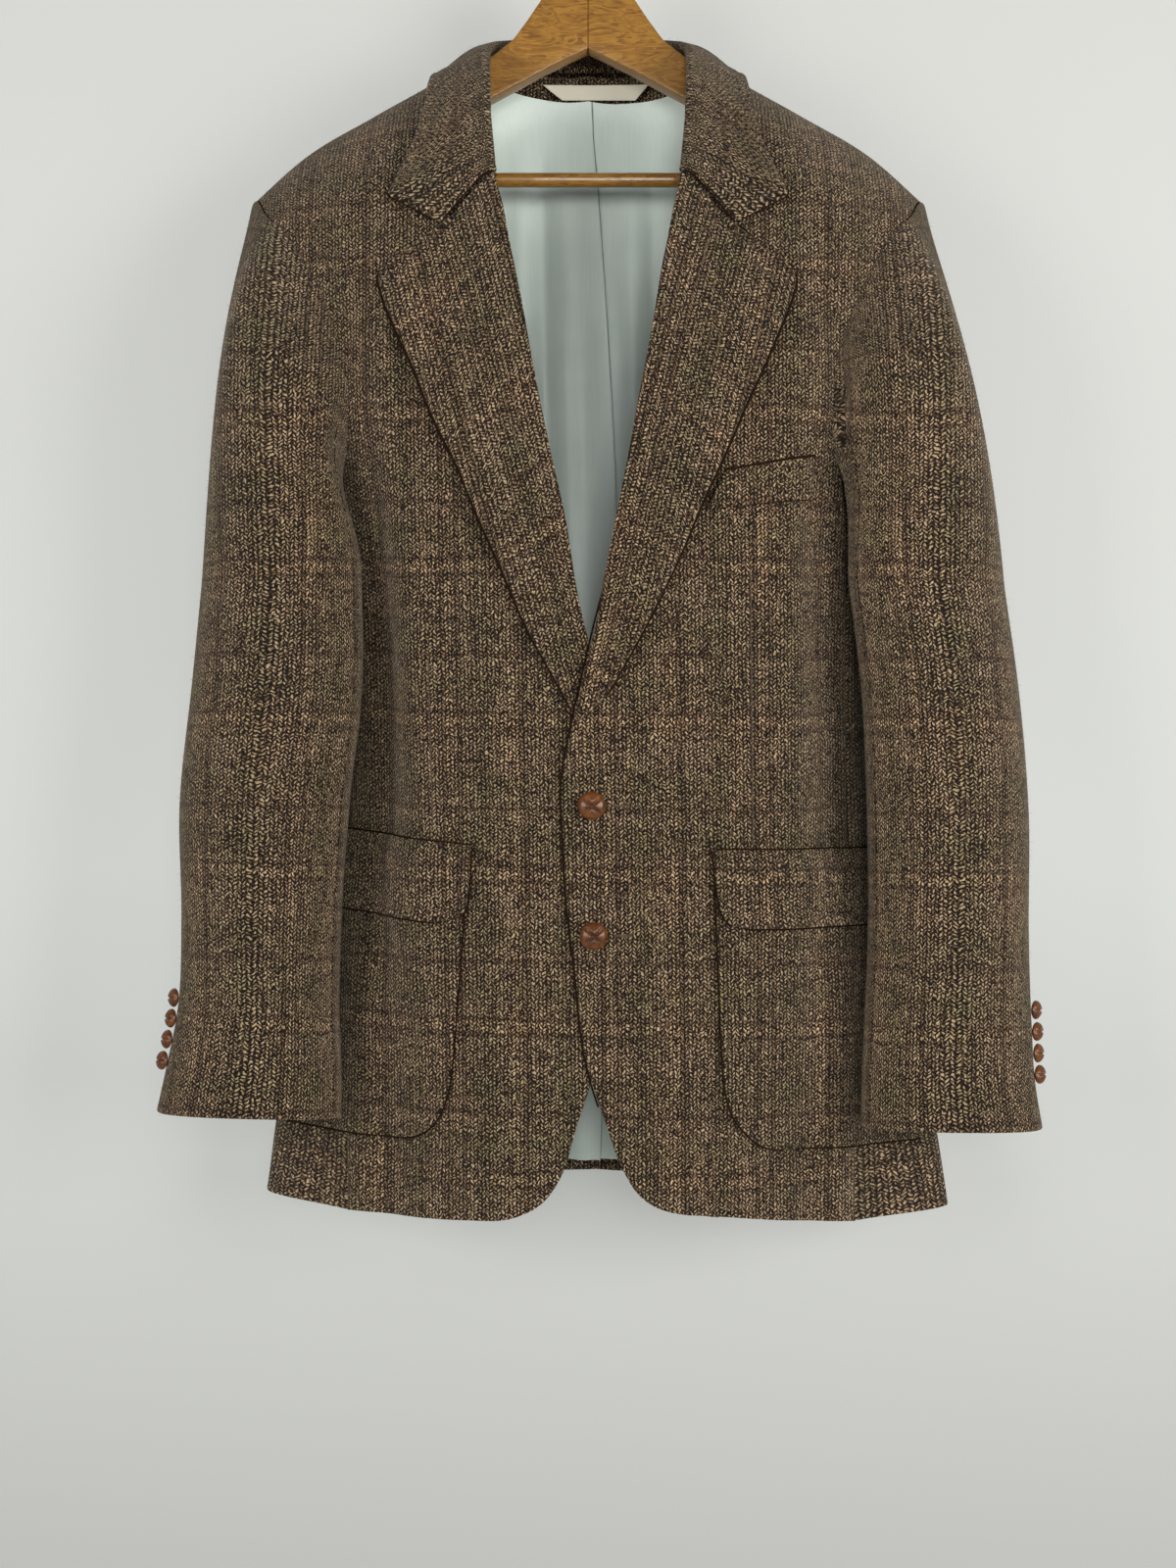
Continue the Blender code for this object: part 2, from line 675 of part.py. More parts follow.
def front_y(side, x, z):
    """y of the forepart's outer face at x and z."""
    return cloth_point(side, girth_at(side, x, z), fall_of(x, z))[:, 1]


def collar_point(a, b):
    """a from the right notch (0) to the left one (1); b from the foot (0) to the edge (1)."""
    side = np.where(a < 0.5, -1, 1)
    station = (1 - np.abs(2 * a - 1)) * (len(COLLAR["foot_x"]) - 1)
    rows = np.arange(len(COLLAR["foot_x"]))
    foot, roll, edge = (np.stack([np.interp(station, rows, COLLAR[f"{line}_{axis}"]) for axis in "xyz"], axis=1)
                        for line in ("foot", "roll", "edge"))
    over = edge - roll
    over[:, 2] = 0
    over /= np.linalg.norm(over, axis=1)[:, None]
    sideways = ease(station, 3, 6)[:, None]
    turn = over * sideways + np.array([0, -1, 0]) * (1 - sideways)
    s = np.clip(b / STAND_SHARE, 0, 1)[:, None]
    t = np.clip((b - STAND_SHARE) / (1 - STAND_SHARE), 0, 1)[:, None]
    before, after = roll - turn * 3 * MM, roll + turn * 5 * MM + over * 8 * MM
    stand = (foot * (1 - s) ** 3 + 3 * (foot * 0.5 + roll * 0.5) * s * (1 - s) ** 2
             + 3 * before * s * s * (1 - s) + roll * s ** 3)
    above_edge = edge + 0.35 * (roll - edge) + np.array([0, 0, 2 * MM])
    fall = (roll * (1 - t) ** 3 + 3 * after * t * (1 - t) ** 2
            + 3 * above_edge * t * t * (1 - t) + edge * t ** 3)
    points = np.where(b[:, None] <= STAND_SHARE, stand, fall)
    lies = (b > STAND_SHARE) & (shoulder_z(points[:, 0]) - points[:, 2] > 2 * MM) & (points[:, 1] < 0)
    for hand in HANDS:
        on = lies & (side == hand)
        shoulder = ease(station[on], 2, 4) * ease(station[on], 8, 6)
        over_panel = front_y(hand, points[on, 0], points[on, 2]) - LAYER - (0.8 + 2.8 * shoulder) * MM
        points[on, 1] = np.minimum(points[on, 1], over_panel)
    points[:, 0] *= side
    return points


cloth("collar", collar_point, across=24, along=8, wall=COLLAR_WALL, outward=True)

# ---------------------------------------------------------------------------
# Lapels: each row runs from the roll line to the outer edge, from the gorge down
# ---------------------------------------------------------------------------
LAPEL_WALL = 2.8 * MM
LAPEL = {
    1: (
        (-9, -588, -10, -603),
        (2, -545, 8, -586),
        (10, -503, 24, -560),
        (19, -460, 42, -526),
        (27, -420, 61, -487),
        (33, -388, 73, -459),
        (39, -358, 87, -429),
        (44, -330, 102, -395),
        (48, -305, 114, -370),
        (53, -280, 126, -342),
        (57, -258, 134, -320),
        (60, -245, 136, -307),
        (62, -235, 109, -279),
    ),
    -1: (
        (-4, -572, 10, -600),
        (8, -520, 28, -567),
        (16, -468, 43, -538),
        (25, -425, 58, -501),
        (32, -390, 74, -464),
        (38, -357, 87, -431),
        (43, -328, 101, -403),
        (48, -303, 115, -368),
        (53, -278, 126, -343),
        (57, -256, 135, -318),
        (60, -245, 137, -306),
        (62, -235, 109, -279),
    ),
}
ROLL_LIFT = 2.0 * MM       # the soft roll stands off the forepart


def make_lapel(side):
    panel = Panel(side, LAPEL[side])

    def surface(a, b):
        roll = ROLL_LIFT * (1 - ease(a, 0, 0.4)) * ease(b, 0.05, 0.35)
        return panel.point(a, within(b, HALF_SEAM, 0.4), LAYER + 0.3 * MM + roll)

    cloth("lapel_" + HANDS[side], surface, across=6, along=18, wall=LAPEL_WALL,
          flip=side < 0, outward=True)


for side in HANDS:
    make_lapel(side)

# ---------------------------------------------------------------------------
# Back lining in two halves, its centre seam wandering to the wearer's left, and the bare
# label under the collar.  up: from the hem (0) to the neck (1)
# ---------------------------------------------------------------------------
LINING_GAP = 2.5 * MM
LINING_LIFT = -(WALL + LINING_GAP)
LINING_SPAN = (0.009, 0.955)      # of the back's rows
LINING_WIDTH = 0.90               # of the back's width
LINING_SEAM = {"up": np.array([0, 0.22, 0.36, 0.50, 0.64, 0.80, 1.0]),
               "x": np.array([3, 10, 18, 20, 15, 7, 3]) * MM}


def lining_point(side, a, b):
    low, high = LINING_SPAN
    rise = closer_above(low + (high - low) * b, BACK_CLOSER)
    girth, fall = backs[side].place(LINING_WIDTH * within(a), rise)
    seam = side * smooth(LINING_SEAM["up"], LINING_SEAM["x"], b)
    return cloth_point(side, girth + seam * (1 - a), fall, BACK, LINING_LIFT)


for side in HANDS:
    cloth("lining_" + HANDS[side], lambda a, b: lining_point(side, a, b), across=8, along=22,
          material=LINING, wall=LINING_WALL, flip=side > 0)

LABEL_WALL = 0.8 * MM
LABEL_TOP = (-34 * MM, 46 * MM, -133 * MM)       # x from, x to, z
LABEL_FOOT = (-19 * MM, 35 * MM, -144 * MM)


def label_point(a, b):
    ends = [foot + (top - foot) * b for foot, top in zip(LABEL_FOOT, LABEL_TOP)]
    lift = LINING_LIFT - LINING_WALL - 2 * LAYER
    return at_height(1, ends[0] + (ends[1] - ends[0]) * a, ends[2], BACK, lift)


cloth("label", label_point, across=8, along=2, material=LABEL, wall=LABEL_WALL, flip=True)

# ---------------------------------------------------------------------------
# Patch pockets, their flaps and the breast welt, all lying on the foreparts.  Each row runs
# from the inner edge (x, z) round to the outer edge (girth, z), bottom to top
# ---------------------------------------------------------------------------
PATCH_WALL = 2.0 * MM
PATCH_LIFT = 1.3 * MM      # clear of the facets of the cloth beneath
PATCH_COLUMNS = "x z girth out_z"
POCKET = {
    1: table(
        PATCH_COLUMNS,
        (138, -887, 247, -889),
        (114, -885, 247, -887),
        (97,  -872, 247, -878),
        (88,  -856, 247, -862),
        (84,  -830, 247, -834),
        (82,  -780, 247, -782),
        (80,  -702, 247, -700),
    ),
    -1: table(
        PATCH_COLUMNS,
        (149, -886, 246, -886),
        (125, -884, 246, -884),
        (110, -874, 246, -876),
        (101, -858, 246, -862),
        (96,  -834, 246, -836),
        (91,  -780, 246, -780),
        (84,  -701, 246, -692),
    ),
}
FLAP = {
    1: table(
        PATCH_COLUMNS,
        (100, -737, 245, -735),
        (88,  -734, 245, -732),
        (83,  -725, 245, -725),
        (80,  -705, 245, -706),
        (78,  -685, 245, -684),
    ),
    -1: table(
        PATCH_COLUMNS,
        (104, -736, 244, -726),
        (90,  -733, 244, -723),
        (84,  -725, 244, -715),
        (82,  -705, 244, -694),
        (81,  -684, 244, -671),
    ),
}
WELT = table(
    PATCH_COLUMNS,
    (77, -462, 150, -453),
    (83, -449, 151, -439),
    (90, -436, 152, -424),
)


def patch_point(side, rows, a, b, over=0.0):
    """A patch on the cloth, raised by over more below its sewn top edge."""
    up = np.linspace(0, 1, len(rows["z"]))
    start = smooth(up, girth_at(side, rows["x"], rows["z"]), b)
    girth = start + (smooth(up, rows["girth"], b) - start) * a
    low = smooth(up, rows["z"], b)
    z = low + (smooth(up, rows["out_z"], b) - low) * a
    return at_height(side, girth, z, FRONT, PATCH_LIFT + over * ease(b, 0.98, 0.80))


for side in HANDS:
    cloth("pocket_" + HANDS[side],
          lambda a, b: patch_point(side, POCKET[side], a, b),
          across=8, along=8, wall=PATCH_WALL, flip=side < 0, outward=True)
    cloth("flap_" + HANDS[side],
          lambda a, b: patch_point(side, FLAP[side], a, b, PATCH_WALL + PATCH_LIFT),
          across=8, along=8, wall=PATCH_WALL, flip=side < 0, outward=True)
cloth("breast_welt", lambda a, b: patch_point(1, WELT, a, b),
      across=4, along=3, wall=PATCH_WALL, outward=True)

# ---------------------------------------------------------------------------
# Buttons: two on the left forepart, four on each sleeve
# ---------------------------------------------------------------------------
FRONT_BUTTON = (9.8 * MM, 5.6 * MM, 0.6 * MM)      # radius, thickness, gap to the cloth
CUFF_BUTTON = (6.7 * MM, 4.6 * MM, 0.3 * MM)
FRONT_BUTTON_X = -1 * MM
FRONT_BUTTON_Z = (-657 * MM, -743 * MM)
CUFF_BUTTON_TURN = 0.015
CUFF_BUTTON_Z = {1: -791 * MM, -1: -793 * MM}
CUFF_BUTTON_PITCH = 14.2 * MM


def button(name, size, surface, a, b, wall, flip=False):
    """A domed button on the outer face of a surface at (a, b)."""
    radius, thickness, gap = size
    a, b = np.array([a]), np.array([b])
    normal = out_of(surface, a, b, flip)
    centre = surface(a, b) + normal * (wall + gap + thickness / 2)
    bm = bmesh.new()
    bmesh.ops.create_uvsphere(bm, u_segments=12, v_segments=6, radius=radius)
    bmesh.ops.scale(bm, vec=(1, 1, thickness / 2 / radius), verts=bm.verts)
    turn = Vector((0, 0, 1)).rotation_difference(Vector(normal[0]))
    bmesh.ops.rotate(bm, cent=(0, 0, 0), matrix=turn.to_matrix(), verts=bm.verts)
    bmesh.ops.translate(bm, vec=hang_skew(centre)[0], verts=bm.verts)
    return place_mesh(name, bm, LEATHER)


def placket(a, b):
    """The left forepart near its buttons: a across 40 mm, b over its height."""
    return at_height(1, FRONT_BUTTON_X + (a - 0.5) * 40 * MM, -0.9 + 0.4 * b)


for number, z in enumerate(FRONT_BUTTON_Z, 1):
    button(f"front_button_{number}", FRONT_BUTTON, placket, 0.5, (z + 0.9) / 0.4, 0)
for side in HANDS:
    top, cuff = SLEEVE[side]["z"][0], SLEEVE[side]["z"][-1]
    for number in range(4):
        z = CUFF_BUTTON_Z[side] - number * CUFF_BUTTON_PITCH
        down = HEAD_SHARE + (1 - HEAD_SHARE) * (z - top) / (cuff - top)
        button(f"cuff_button_{HANDS[side]}_{number + 1}", CUFF_BUTTON,
               lambda a, b: sleeve_point(side, a, 1 - b), CUFF_BUTTON_TURN, 1 - down, WALL,
               flip=side > 0)

# ---------------------------------------------------------------------------
# The hanger: two wooden arms, a trouser bar between them and a wire hook
# ---------------------------------------------------------------------------
ARM = table(
    "x      top     bottom",
    (0.15,  -60,    -125),
    (14,    -64,    -131.5),
    (24,    -76,    -136.5),
    (32,    -89,    -140.5),
    (42,    -104,   -146),
    (53,    -119,   -152),
    (66,    -129,   -159),
    (80,    -138,   -166),
    (95,    -146.5, -173),
    (108,   -155,   -181),
    (150,   -181.5, -205),
    (200,   -213,   -232),
    (210,   -221.5, -233),
)
ARM_HALF = 6.5 * MM
ARM_ROUND = 3 * MM
BAR_RADIUS = 5 * MM
BAR_Z = -215.7 * MM
BAR_END = 160.5 * MM


def hanger_arm(side):
    bm = bmesh.new()
    flat = ARM_HALF - ARM_ROUND
    rings = []
    for x, top, bottom in zip(ARM["x"], ARM["top"], ARM["bottom"]):
        low, high = bottom + ARM_ROUND, top - ARM_ROUND
        ring = ((-ARM_HALF, low), (-flat, bottom), (flat, bottom), (ARM_HALF, low),
                (ARM_HALF, high), (flat, top), (-flat, top), (-ARM_HALF, high))
        rings.append([bm.verts.new((side * x, y, z)) for y, z in ring])
    for ring, after in zip(rings, rings[1:]):
        for k in range(8):
            bm.faces.new((ring[k], ring[k - 1], after[k - 1], after[k]))
    bm.faces.new(rings[0])
    bm.faces.new(rings[-1])
    bmesh.ops.recalc_face_normals(bm, faces=bm.faces)
    return place_mesh("hanger_" + HANDS[side], bm, WOOD)


for side in HANDS:
    hanger_arm(side)

bm = bmesh.new()
bmesh.ops.create_cone(bm, cap_ends=True, segments=20, radius1=BAR_RADIUS, radius2=BAR_RADIUS,
                      depth=2 * BAR_END, matrix=Matrix.Rotation(math.pi / 2, 4, "Y"))
bmesh.ops.translate(bm, vec=(0, 0, BAR_Z), verts=bm.verts)
place_mesh("hanger_bar", bm, WOOD)

WIRE = 1.7 * MM
CROWN_RADIUS = 18.7 * MM                   # of the wire's middle
CROWN_Z = WIRE - CROWN_RADIUS              # so the hook hangs from z = 0
CROWN_FROM, CROWN_TO = math.radians(-50), math.radians(205)
STEM = ((-13.2, -29.8), (-8.5, -34.6), (-3.6, -38.4), (-0.8, -42.5), (0, -47.5), (0, -59.6))

path = [(CROWN_RADIUS * math.cos(angle), CROWN_Z + CROWN_RADIUS * math.sin(angle))
        for angle in np.linspace(CROWN_FROM, CROWN_TO, 22)]
path += [(x * MM, z * MM) for x, z in STEM]
curve = bpy.data.curves.new("hanger_hook", "CURVE")
curve.dimensions = "3D"
curve.bevel_depth = WIRE
curve.bevel_resolution = 2
curve.use_fill_caps = True
spline = curve.splines.new("POLY")
spline.points.add(len(path) - 1)
for point, (x, z) in zip(spline.points, path):
    point.co = (x, 0, z, 1)
curve.materials.append(STEEL)
jacket.objects.link(bpy.data.objects.new("hanger_hook", curve))
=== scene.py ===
"""The looks of a tweed hacking jacket that hangs, buttoned, on a wooden hanger."""
import math

import bmesh
import bpy
import numpy as np
from mathutils import Matrix, Vector


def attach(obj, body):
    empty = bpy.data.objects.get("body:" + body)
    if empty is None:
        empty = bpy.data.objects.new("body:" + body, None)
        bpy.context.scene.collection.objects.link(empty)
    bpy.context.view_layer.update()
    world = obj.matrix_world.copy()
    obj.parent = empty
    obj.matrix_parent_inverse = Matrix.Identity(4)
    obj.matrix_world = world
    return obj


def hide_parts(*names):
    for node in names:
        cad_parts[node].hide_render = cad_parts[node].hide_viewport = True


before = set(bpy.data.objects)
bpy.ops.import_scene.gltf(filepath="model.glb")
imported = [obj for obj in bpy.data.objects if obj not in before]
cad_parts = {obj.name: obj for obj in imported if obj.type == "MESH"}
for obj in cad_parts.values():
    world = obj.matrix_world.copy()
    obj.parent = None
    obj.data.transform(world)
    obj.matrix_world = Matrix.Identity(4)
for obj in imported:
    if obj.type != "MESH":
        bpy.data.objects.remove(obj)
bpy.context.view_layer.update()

# ---- Camera -----------------------------------------------------------------------------
# Level with the middle of the jacket and square to it, close enough for the chest to
# look larger than the back.
MM = 0.001
lens = bpy.data.cameras.new("camera")
lens.lens, lens.sensor_width = 39.9, 36
camera = bpy.data.objects.new("camera", lens)
camera.location = (0, -1230 * MM, -643 * MM)
camera.rotation_euler = (math.pi / 2, 0, 0)
bpy.context.scene.collection.objects.link(camera)
bpy.context.scene.camera = camera

# ---- Hanger -----------------------------------------------------------------------------
# Two flat arms of varnished beech, butted on the centre line under a bent steel wire hook,
# with a round trouser bar let in between their lower edges.
ARM = (                     # x, top and bottom edge, mm
    (0.15, -60, -125), (14, -64, -131.5), (24, -76, -136.5), (32, -89, -140.5), (42, -104, -146),
    (53, -119, -152), (66, -129, -159), (80, -138, -166), (95, -146.5, -173), (108, -155, -181),
    (150, -181.5, -205), (200, -213, -232), (210, -221.5, -233),
)
ARM_HALF, ARM_ROUND = 6.5 * MM, 2.6 * MM
SHARP = 1.0                 # radians between two faces, past which their edge is rounded
RINGS, PORES = (24, 130, 95), (140, 1900, 1500)    # waves a metre along and across the grain


def feed(tree, made, **values):
    """Sets a node's inputs, named or i0, i1 and so on, or links them to other nodes' outputs."""
    for key, value in values.items():
        socket = made.inputs[int(key[1:]) if key[1:].isdigit() else key.replace("_", " ")]
        if isinstance(value, bpy.types.NodeSocket):
            tree.links.new(value, socket)
        else:
            socket.default_value = value
    return made


def node(tree, kind, settings=None, **values):
    made = tree.nodes.new("ShaderNode" + kind)
    for key, value in (settings or {}).items():
        setattr(made, key, value)
    return feed(tree, made, **values)


def new_material(name):
    """A material and its node tree."""
    material = bpy.data.materials.new(name)
    material.use_nodes = True
    return material, material.node_tree


def dress(tree, **finish):
    """Sets or links the sockets of a material's own shader."""
    return feed(tree, tree.nodes["Principled BSDF"], **finish)


def maths(tree, operation, first, second=0.0, third=0.0):
    return node(tree, "Math", {"operation": operation}, i0=first, i1=second, i2=third).outputs[0]


def ramp(tree, value, *stops):
    """A colour ramp of (place, colour) stops."""
    made = node(tree, "ValToRGB", None, Fac=value)
    band = made.color_ramp
    for k, (place, colour) in enumerate(stops):
        stop = band.elements[k] if k < 2 else band.elements.new(place)
        stop.position, stop.color = place, (*colour, 1)
    return made.outputs[0]


def object_at(tree):
    return node(tree, "TexCoord").outputs["Object"]


def stretched(tree, at, waves):
    return node(tree, "VectorMath", {"operation": "MULTIPLY"}, i0=at, i1=waves).outputs[0]


def noise(tree, at, scale=1.0, detail=2.0, flat=False, output=0, **more):
    made = node(tree, "TexNoise", {"noise_dimensions": "2D" if flat else "3D"}, Vector=at,
                Scale=scale, Detail=detail, **more)
    return made.outputs[output]


def relief(tree, height, strength, distance):
    return node(tree, "Bump", None, Height=height, Strength=strength, Distance=distance).outputs[0]


def formed(name, bm, material):
    """Turns a bmesh into an object of one material."""
    mesh = bpy.data.meshes.new(name)
    bm.to_mesh(mesh)
    bm.free()
    mesh.materials.append(material)
    made = bpy.data.objects.new(name, mesh)
    bpy.context.scene.collection.objects.link(made)
    return made


def show(name, bm, material):
    """Turns a bmesh into a smooth-shaded piece that rides on the one body."""
    made = formed(name, bm, material)
    made.data.shade_smooth()
    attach(made, "root")
    return made


WOOD, tree = new_material("varnished beech")
board = object_at(tree)
pore = noise(tree, stretched(tree, board, PORES))
growth = noise(tree, stretched(tree, board, RINGS), detail=3.0, Distortion=1.2)
rings = maths(tree, "FRACT", maths(tree, "MULTIPLY", growth, 7.0))
figure = maths(tree, "MULTIPLY_ADD", rings, 0.34, maths(tree, "MULTIPLY", pore, 0.66))
wood = ramp(tree, figure, (0.24, (0.105, 0.037, 0.0030)), (0.46, (0.195, 0.086, 0.0085)),
            (0.72, (0.270, 0.132, 0.017)))
dress(tree, Base_Color=wood, Normal=relief(tree, pore, 0.2, 0.15 * MM), Coat_Weight=0.25,
      Roughness=0.38)
STEEL, tree = new_material("bright steel wire")
dress(tree, Base_Color=(0.55, 0.55, 0.56, 1), Metallic=1, Roughness=0.28)

for side, hand in ((1, "left"), (-1, "right")):
    bm = bmesh.new()
    bmesh.ops.create_grid(bm, x_segments=70, y_segments=8, size=0.5)
    bmesh.ops.extrude_face_region(bm, geom=list(bm.faces), use_keep_orig=True)
    xs, tops, bottoms = np.array(ARM, dtype=float).T * MM
    for at, vert in enumerate(bm.verts):
        x = xs[-1] * (vert.co.x + 0.5)
        low, high = np.interp(x, xs, bottoms), np.interp(x, xs, tops)
        front = -1 if at >= len(bm.verts) // 2 else 1
        vert.co = (side * x, front * ARM_HALF, low + (high - low) * (vert.co.y + 0.5))
    bmesh.ops.recalc_face_normals(bm, faces=bm.faces)
    rim = [edge for edge in bm.edges if edge.calc_face_angle(0) > SHARP]
    bmesh.ops.bevel(bm, geom=rim, offset=ARM_ROUND, segments=4, affect="EDGES", profile=0.5,
                    material=-1, clamp_overlap=True)
    arm = show("hanger_arm_" + hand, bm, WOOD)
    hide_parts("hanger_" + hand)
for name, material in (("hanger_bar", WOOD), ("hanger_hook", STEEL)):
    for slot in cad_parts[name].material_slots:
        slot.material = material

# ---- The hang of the cloth --------------------------------------------------------------
# The jacket is woollen tweed over canvas, cut as flat panels.  Every piece is laid out in
# cloth lengths, girth round the body and fall down from the shoulder line, and lies on one
# hanging form with soft folds: level sections worked out from the jacket's sizes.
WALL = 2.4 * MM
LINING_WALL = 1.2 * MM
SEAM = 0.3 * MM
HALF_SEAM = SEAM / 2
LAYER = 0.35 * MM
FRONT, BACK = 0, 1
HANDS = {1: "left", -1: "right"}


def table(columns, *rows):
    """A small table in millimetres, as one array in metres for each named column."""
    values = np.array(rows, dtype=float) * MM
    return {name: values[:, i] for i, name in enumerate(columns.split())}


def smooth(keys, values, at):
    """Cubic curve through the rows of a table; the keys rise or fall."""
    if keys[0] > keys[-1]:
        keys, values = keys[::-1], values[::-1]
    slopes = np.gradient(values, keys)
    i = np.clip(np.searchsorted(keys, at) - 1, 0, len(keys) - 2)
    gap = keys[i + 1] - keys[i]
    s = np.clip((at - keys[i]) / gap, 0, 1)
    start, end = values[i], values[i + 1]
    return (start * (1 + 2 * s) * (1 - s) ** 2 + end * s * s * (3 - 2 * s)
            + gap * s * (1 - s) * (slopes[i] * (1 - s) - slopes[i + 1] * s))


def ease(x, low, high):
    """0 below low, 1 above high, smooth between them; low may be above high."""
    s = np.clip((x - low) / (high - low), 0, 1)
    return s * s * (3 - 2 * s)


# The hanging body.  Each row is a level section through half of the jacket:
# front   y at the centre front         edge_r, edge_l, edge_y   where the front turns
# side_r, side_l, side_y  widest point  nape_x, nape_y           where the back turns
# back    y at the centre back          (_r and _l: wearer's right and left)
BODY = table(
    "z     front edge_r edge_l edge_y side_r side_l side_y nape_x nape_y back",
    (-60,  -40,  120,   122,   -30,   235,   238,   4,     150,   38,    42),
    (-150, -50,  140,   142,   -40,   265,   268,   4,     180,   38,    44),
    (-235, -66,  166,   170,   -52,   285,   288,   4,     205,   38,    47),
    (-310, -79,  160,   166,   -64,   262,   266,   2,     196,   38,    48),
    (-385, -86,  154,   162,   -69,   222,   230,   4,     187,   39,    48),
    (-460, -87,  146,   160,   -66,   204,   216,   10,    184,   40,    46),
    (-560, -84,  138,   158,   -60,   198,   212,   18,    182,   38,    42),
    (-660, -81,  138,   160,   -54,   198,   214,   20,    183,   38,    40),
    (-760, -78,  142,   162,   -48,   210,   226,   20,    192,   40,    42),
    (-860, -74,  150,   164,   -40,   224,   240,   18,    202,   43,    46),
    (-945, -72,  160,   172,   -36,   235,   252,   10,    208,   44,    49),
)
# The shoulder line from the neck to the sleeve head
SHOULDER = table(
    "x    z",
    (0,   -98),
    (35,  -106),
    (72,  -126),
    (108, -149),
    (150, -172),
    (200, -201),
    (238, -234),
    (270, -262),
)
RIDGE_Y = 2 * MM                       # the shoulder seam runs just behind the hanger
ROUND_OVER = (72 * MM, 62 * MM)        # height over which front and back close at the shoulder


def body_row(side, z):
    """The seven control points of a half section at each z, with a mirrored one at each end."""
    hand = "l" if side > 0 else "r"
    get = {name: smooth(BODY["z"], BODY[name], z) for name in BODY if name != "z"}
    edge_x, edge_y = get["edge_" + hand], get["edge_y"]
    side_x, nape_x = get["side_" + hand], get["nape_x"]
    front, back, nape_y = get["front"], get["back"], get["nape_y"]
    xs = [-0.6 * edge_x, 0 * z, 0.6 * edge_x, edge_x, side_x, nape_x, 0.5 * nape_x, 0 * z,
          -0.5 * nape_x]
    near_front = front + 0.16 * (edge_y - front)
    near_back = back + 0.12 * (nape_y - back)
    ys = [near_front, front, near_front, edge_y, get["side_y"], nape_y, near_back, back, near_back]
    return np.array(xs), np.array(ys)


def section(side, t, z):
    """x and y at t = 0 (centre front) to 6 (centre back) of the half section at z."""
    xs, ys = body_row(side, z)
    i = np.clip(t.astype(int), 0, 5)
    s = t - i
    n = np.arange(len(t))
    weights = (-0.5 * s + s ** 2 - 0.5 * s ** 3, 1 - 2.5 * s ** 2 + 1.5 * s ** 3,
               0.5 * s + 2 * s ** 2 - 1.5 * s ** 3, -0.5 * s ** 2 + 0.5 * s ** 3)
    x = sum(w * xs[i + k, n] for k, w in enumerate(weights))
    y = sum(w * ys[i + k, n] for k, w in enumerate(weights))
    return x, y


LEVELS = np.linspace(-0.960, -0.060, 91)
STEPS = np.linspace(0, 6, 181)
SHARES = np.linspace(0, 1, 201)        # share of the half girth
ACROSS = np.linspace(0, 0.26, 105)      # x measured straight across


def measure(side):
    """Tables that turn cloth length, or x, into t at every level, and each level's half girth."""
    by_share, by_front, by_back, halves = [], [], [], []
    for z in LEVELS:
        x, y = section(side, STEPS, np.full(len(STEPS), z))
        run = np.concatenate([[0], np.cumsum(np.hypot(np.diff(x), np.diff(y)))])
        widest = int(np.argmax(x))
        by_share.append(np.interp(SHARES * run[-1], run, STEPS))
        by_front.append(np.interp(ACROSS, x[:widest + 1], run[:widest + 1]))
        by_back.append(np.interp(ACROSS, x[widest:][::-1], run[-1] - run[widest:][::-1]))
        halves.append(run[-1])
    return {"t": np.array(by_share), "front": np.array(by_front), "back": np.array(by_back),
            "half": np.array(halves)}


TAPE = {side: measure(side) for side in HANDS}


def look_up(grid, columns, at, z):
    """Bilinear value of a grid of LEVELS x columns."""
    row = np.clip((z - LEVELS[0]) / (LEVELS[1] - LEVELS[0]), 0, len(LEVELS) - 1.001)
    col = np.clip((at - columns[0]) / (columns[1] - columns[0]), 0, len(columns) - 1.001)
    r, c = row.astype(int), col.astype(int)
    fr, fc = row - r, col - c
    return ((grid[r, c] * (1 - fc) + grid[r, c + 1] * fc) * (1 - fr)
            + (grid[r + 1, c] * (1 - fc) + grid[r + 1, c + 1] * fc) * fr)


def girth_at(side, x, z, face=FRONT):
    """Cloth length from the centre front (or back) to where the section reaches x."""
    return look_up(TAPE[side]["front" if face == FRONT else "back"], ACROSS, x, z)


def half_girth(side, z):
    return np.interp(z, LEVELS, TAPE[side]["half"])


def t_at(side, girth, z, face=FRONT):
    share = np.abs(girth) / half_girth(side, z)
    return look_up(TAPE[side]["t"], SHARES, share if face == FRONT else 1 - share, z)


def shoulder_z(x):
    return smooth(SHOULDER["x"], SHOULDER["z"], np.abs(x))


def fall_of(x, z, face=FRONT):
    """Cloth length down from the shoulder line to height z."""
    over = ROUND_OVER[face]
    drop = shoulder_z(x) - z
    return over * np.arccos(1 - np.clip(drop / over, 0, 1)) + np.maximum(drop - over, 0)


# Soft vertical folds: where they lie along the girth, how wide, how deep, and from which
# height to which they fade in
FOLDS = {
    FRONT: table(
        "girth width depth fade_in full",
        (58,   30,   2.0,  -720,   -930),
        (118,  26,   -3.0, -700,   -900),
        (150,  16,   -3.0, -380,   -480),
        (172,  22,   3.0,  -640,   -900),
    ),
    BACK: table(
        "girth width depth fade_in full",
        (45,   26,   3.0,  -560,   -900),
        (98,   30,   -4.0, -420,   -860),
        (138,  22,   4.0,  -380,   -880),
    ),
}


def fold_depth(girth, z, face):
    rows = zip(*(FOLDS[face][name] for name in ("girth", "width", "depth", "fade_in", "full")))
    return sum(depth * np.exp(-((girth - at) / width) ** 2) * ease(z, start, full)
               for at, width, depth, start, full in rows)


OVER_EDGE, OVER_LAPEL = 3.2 * MM, 3.6 * MM     # the left forepart stands off the right one's


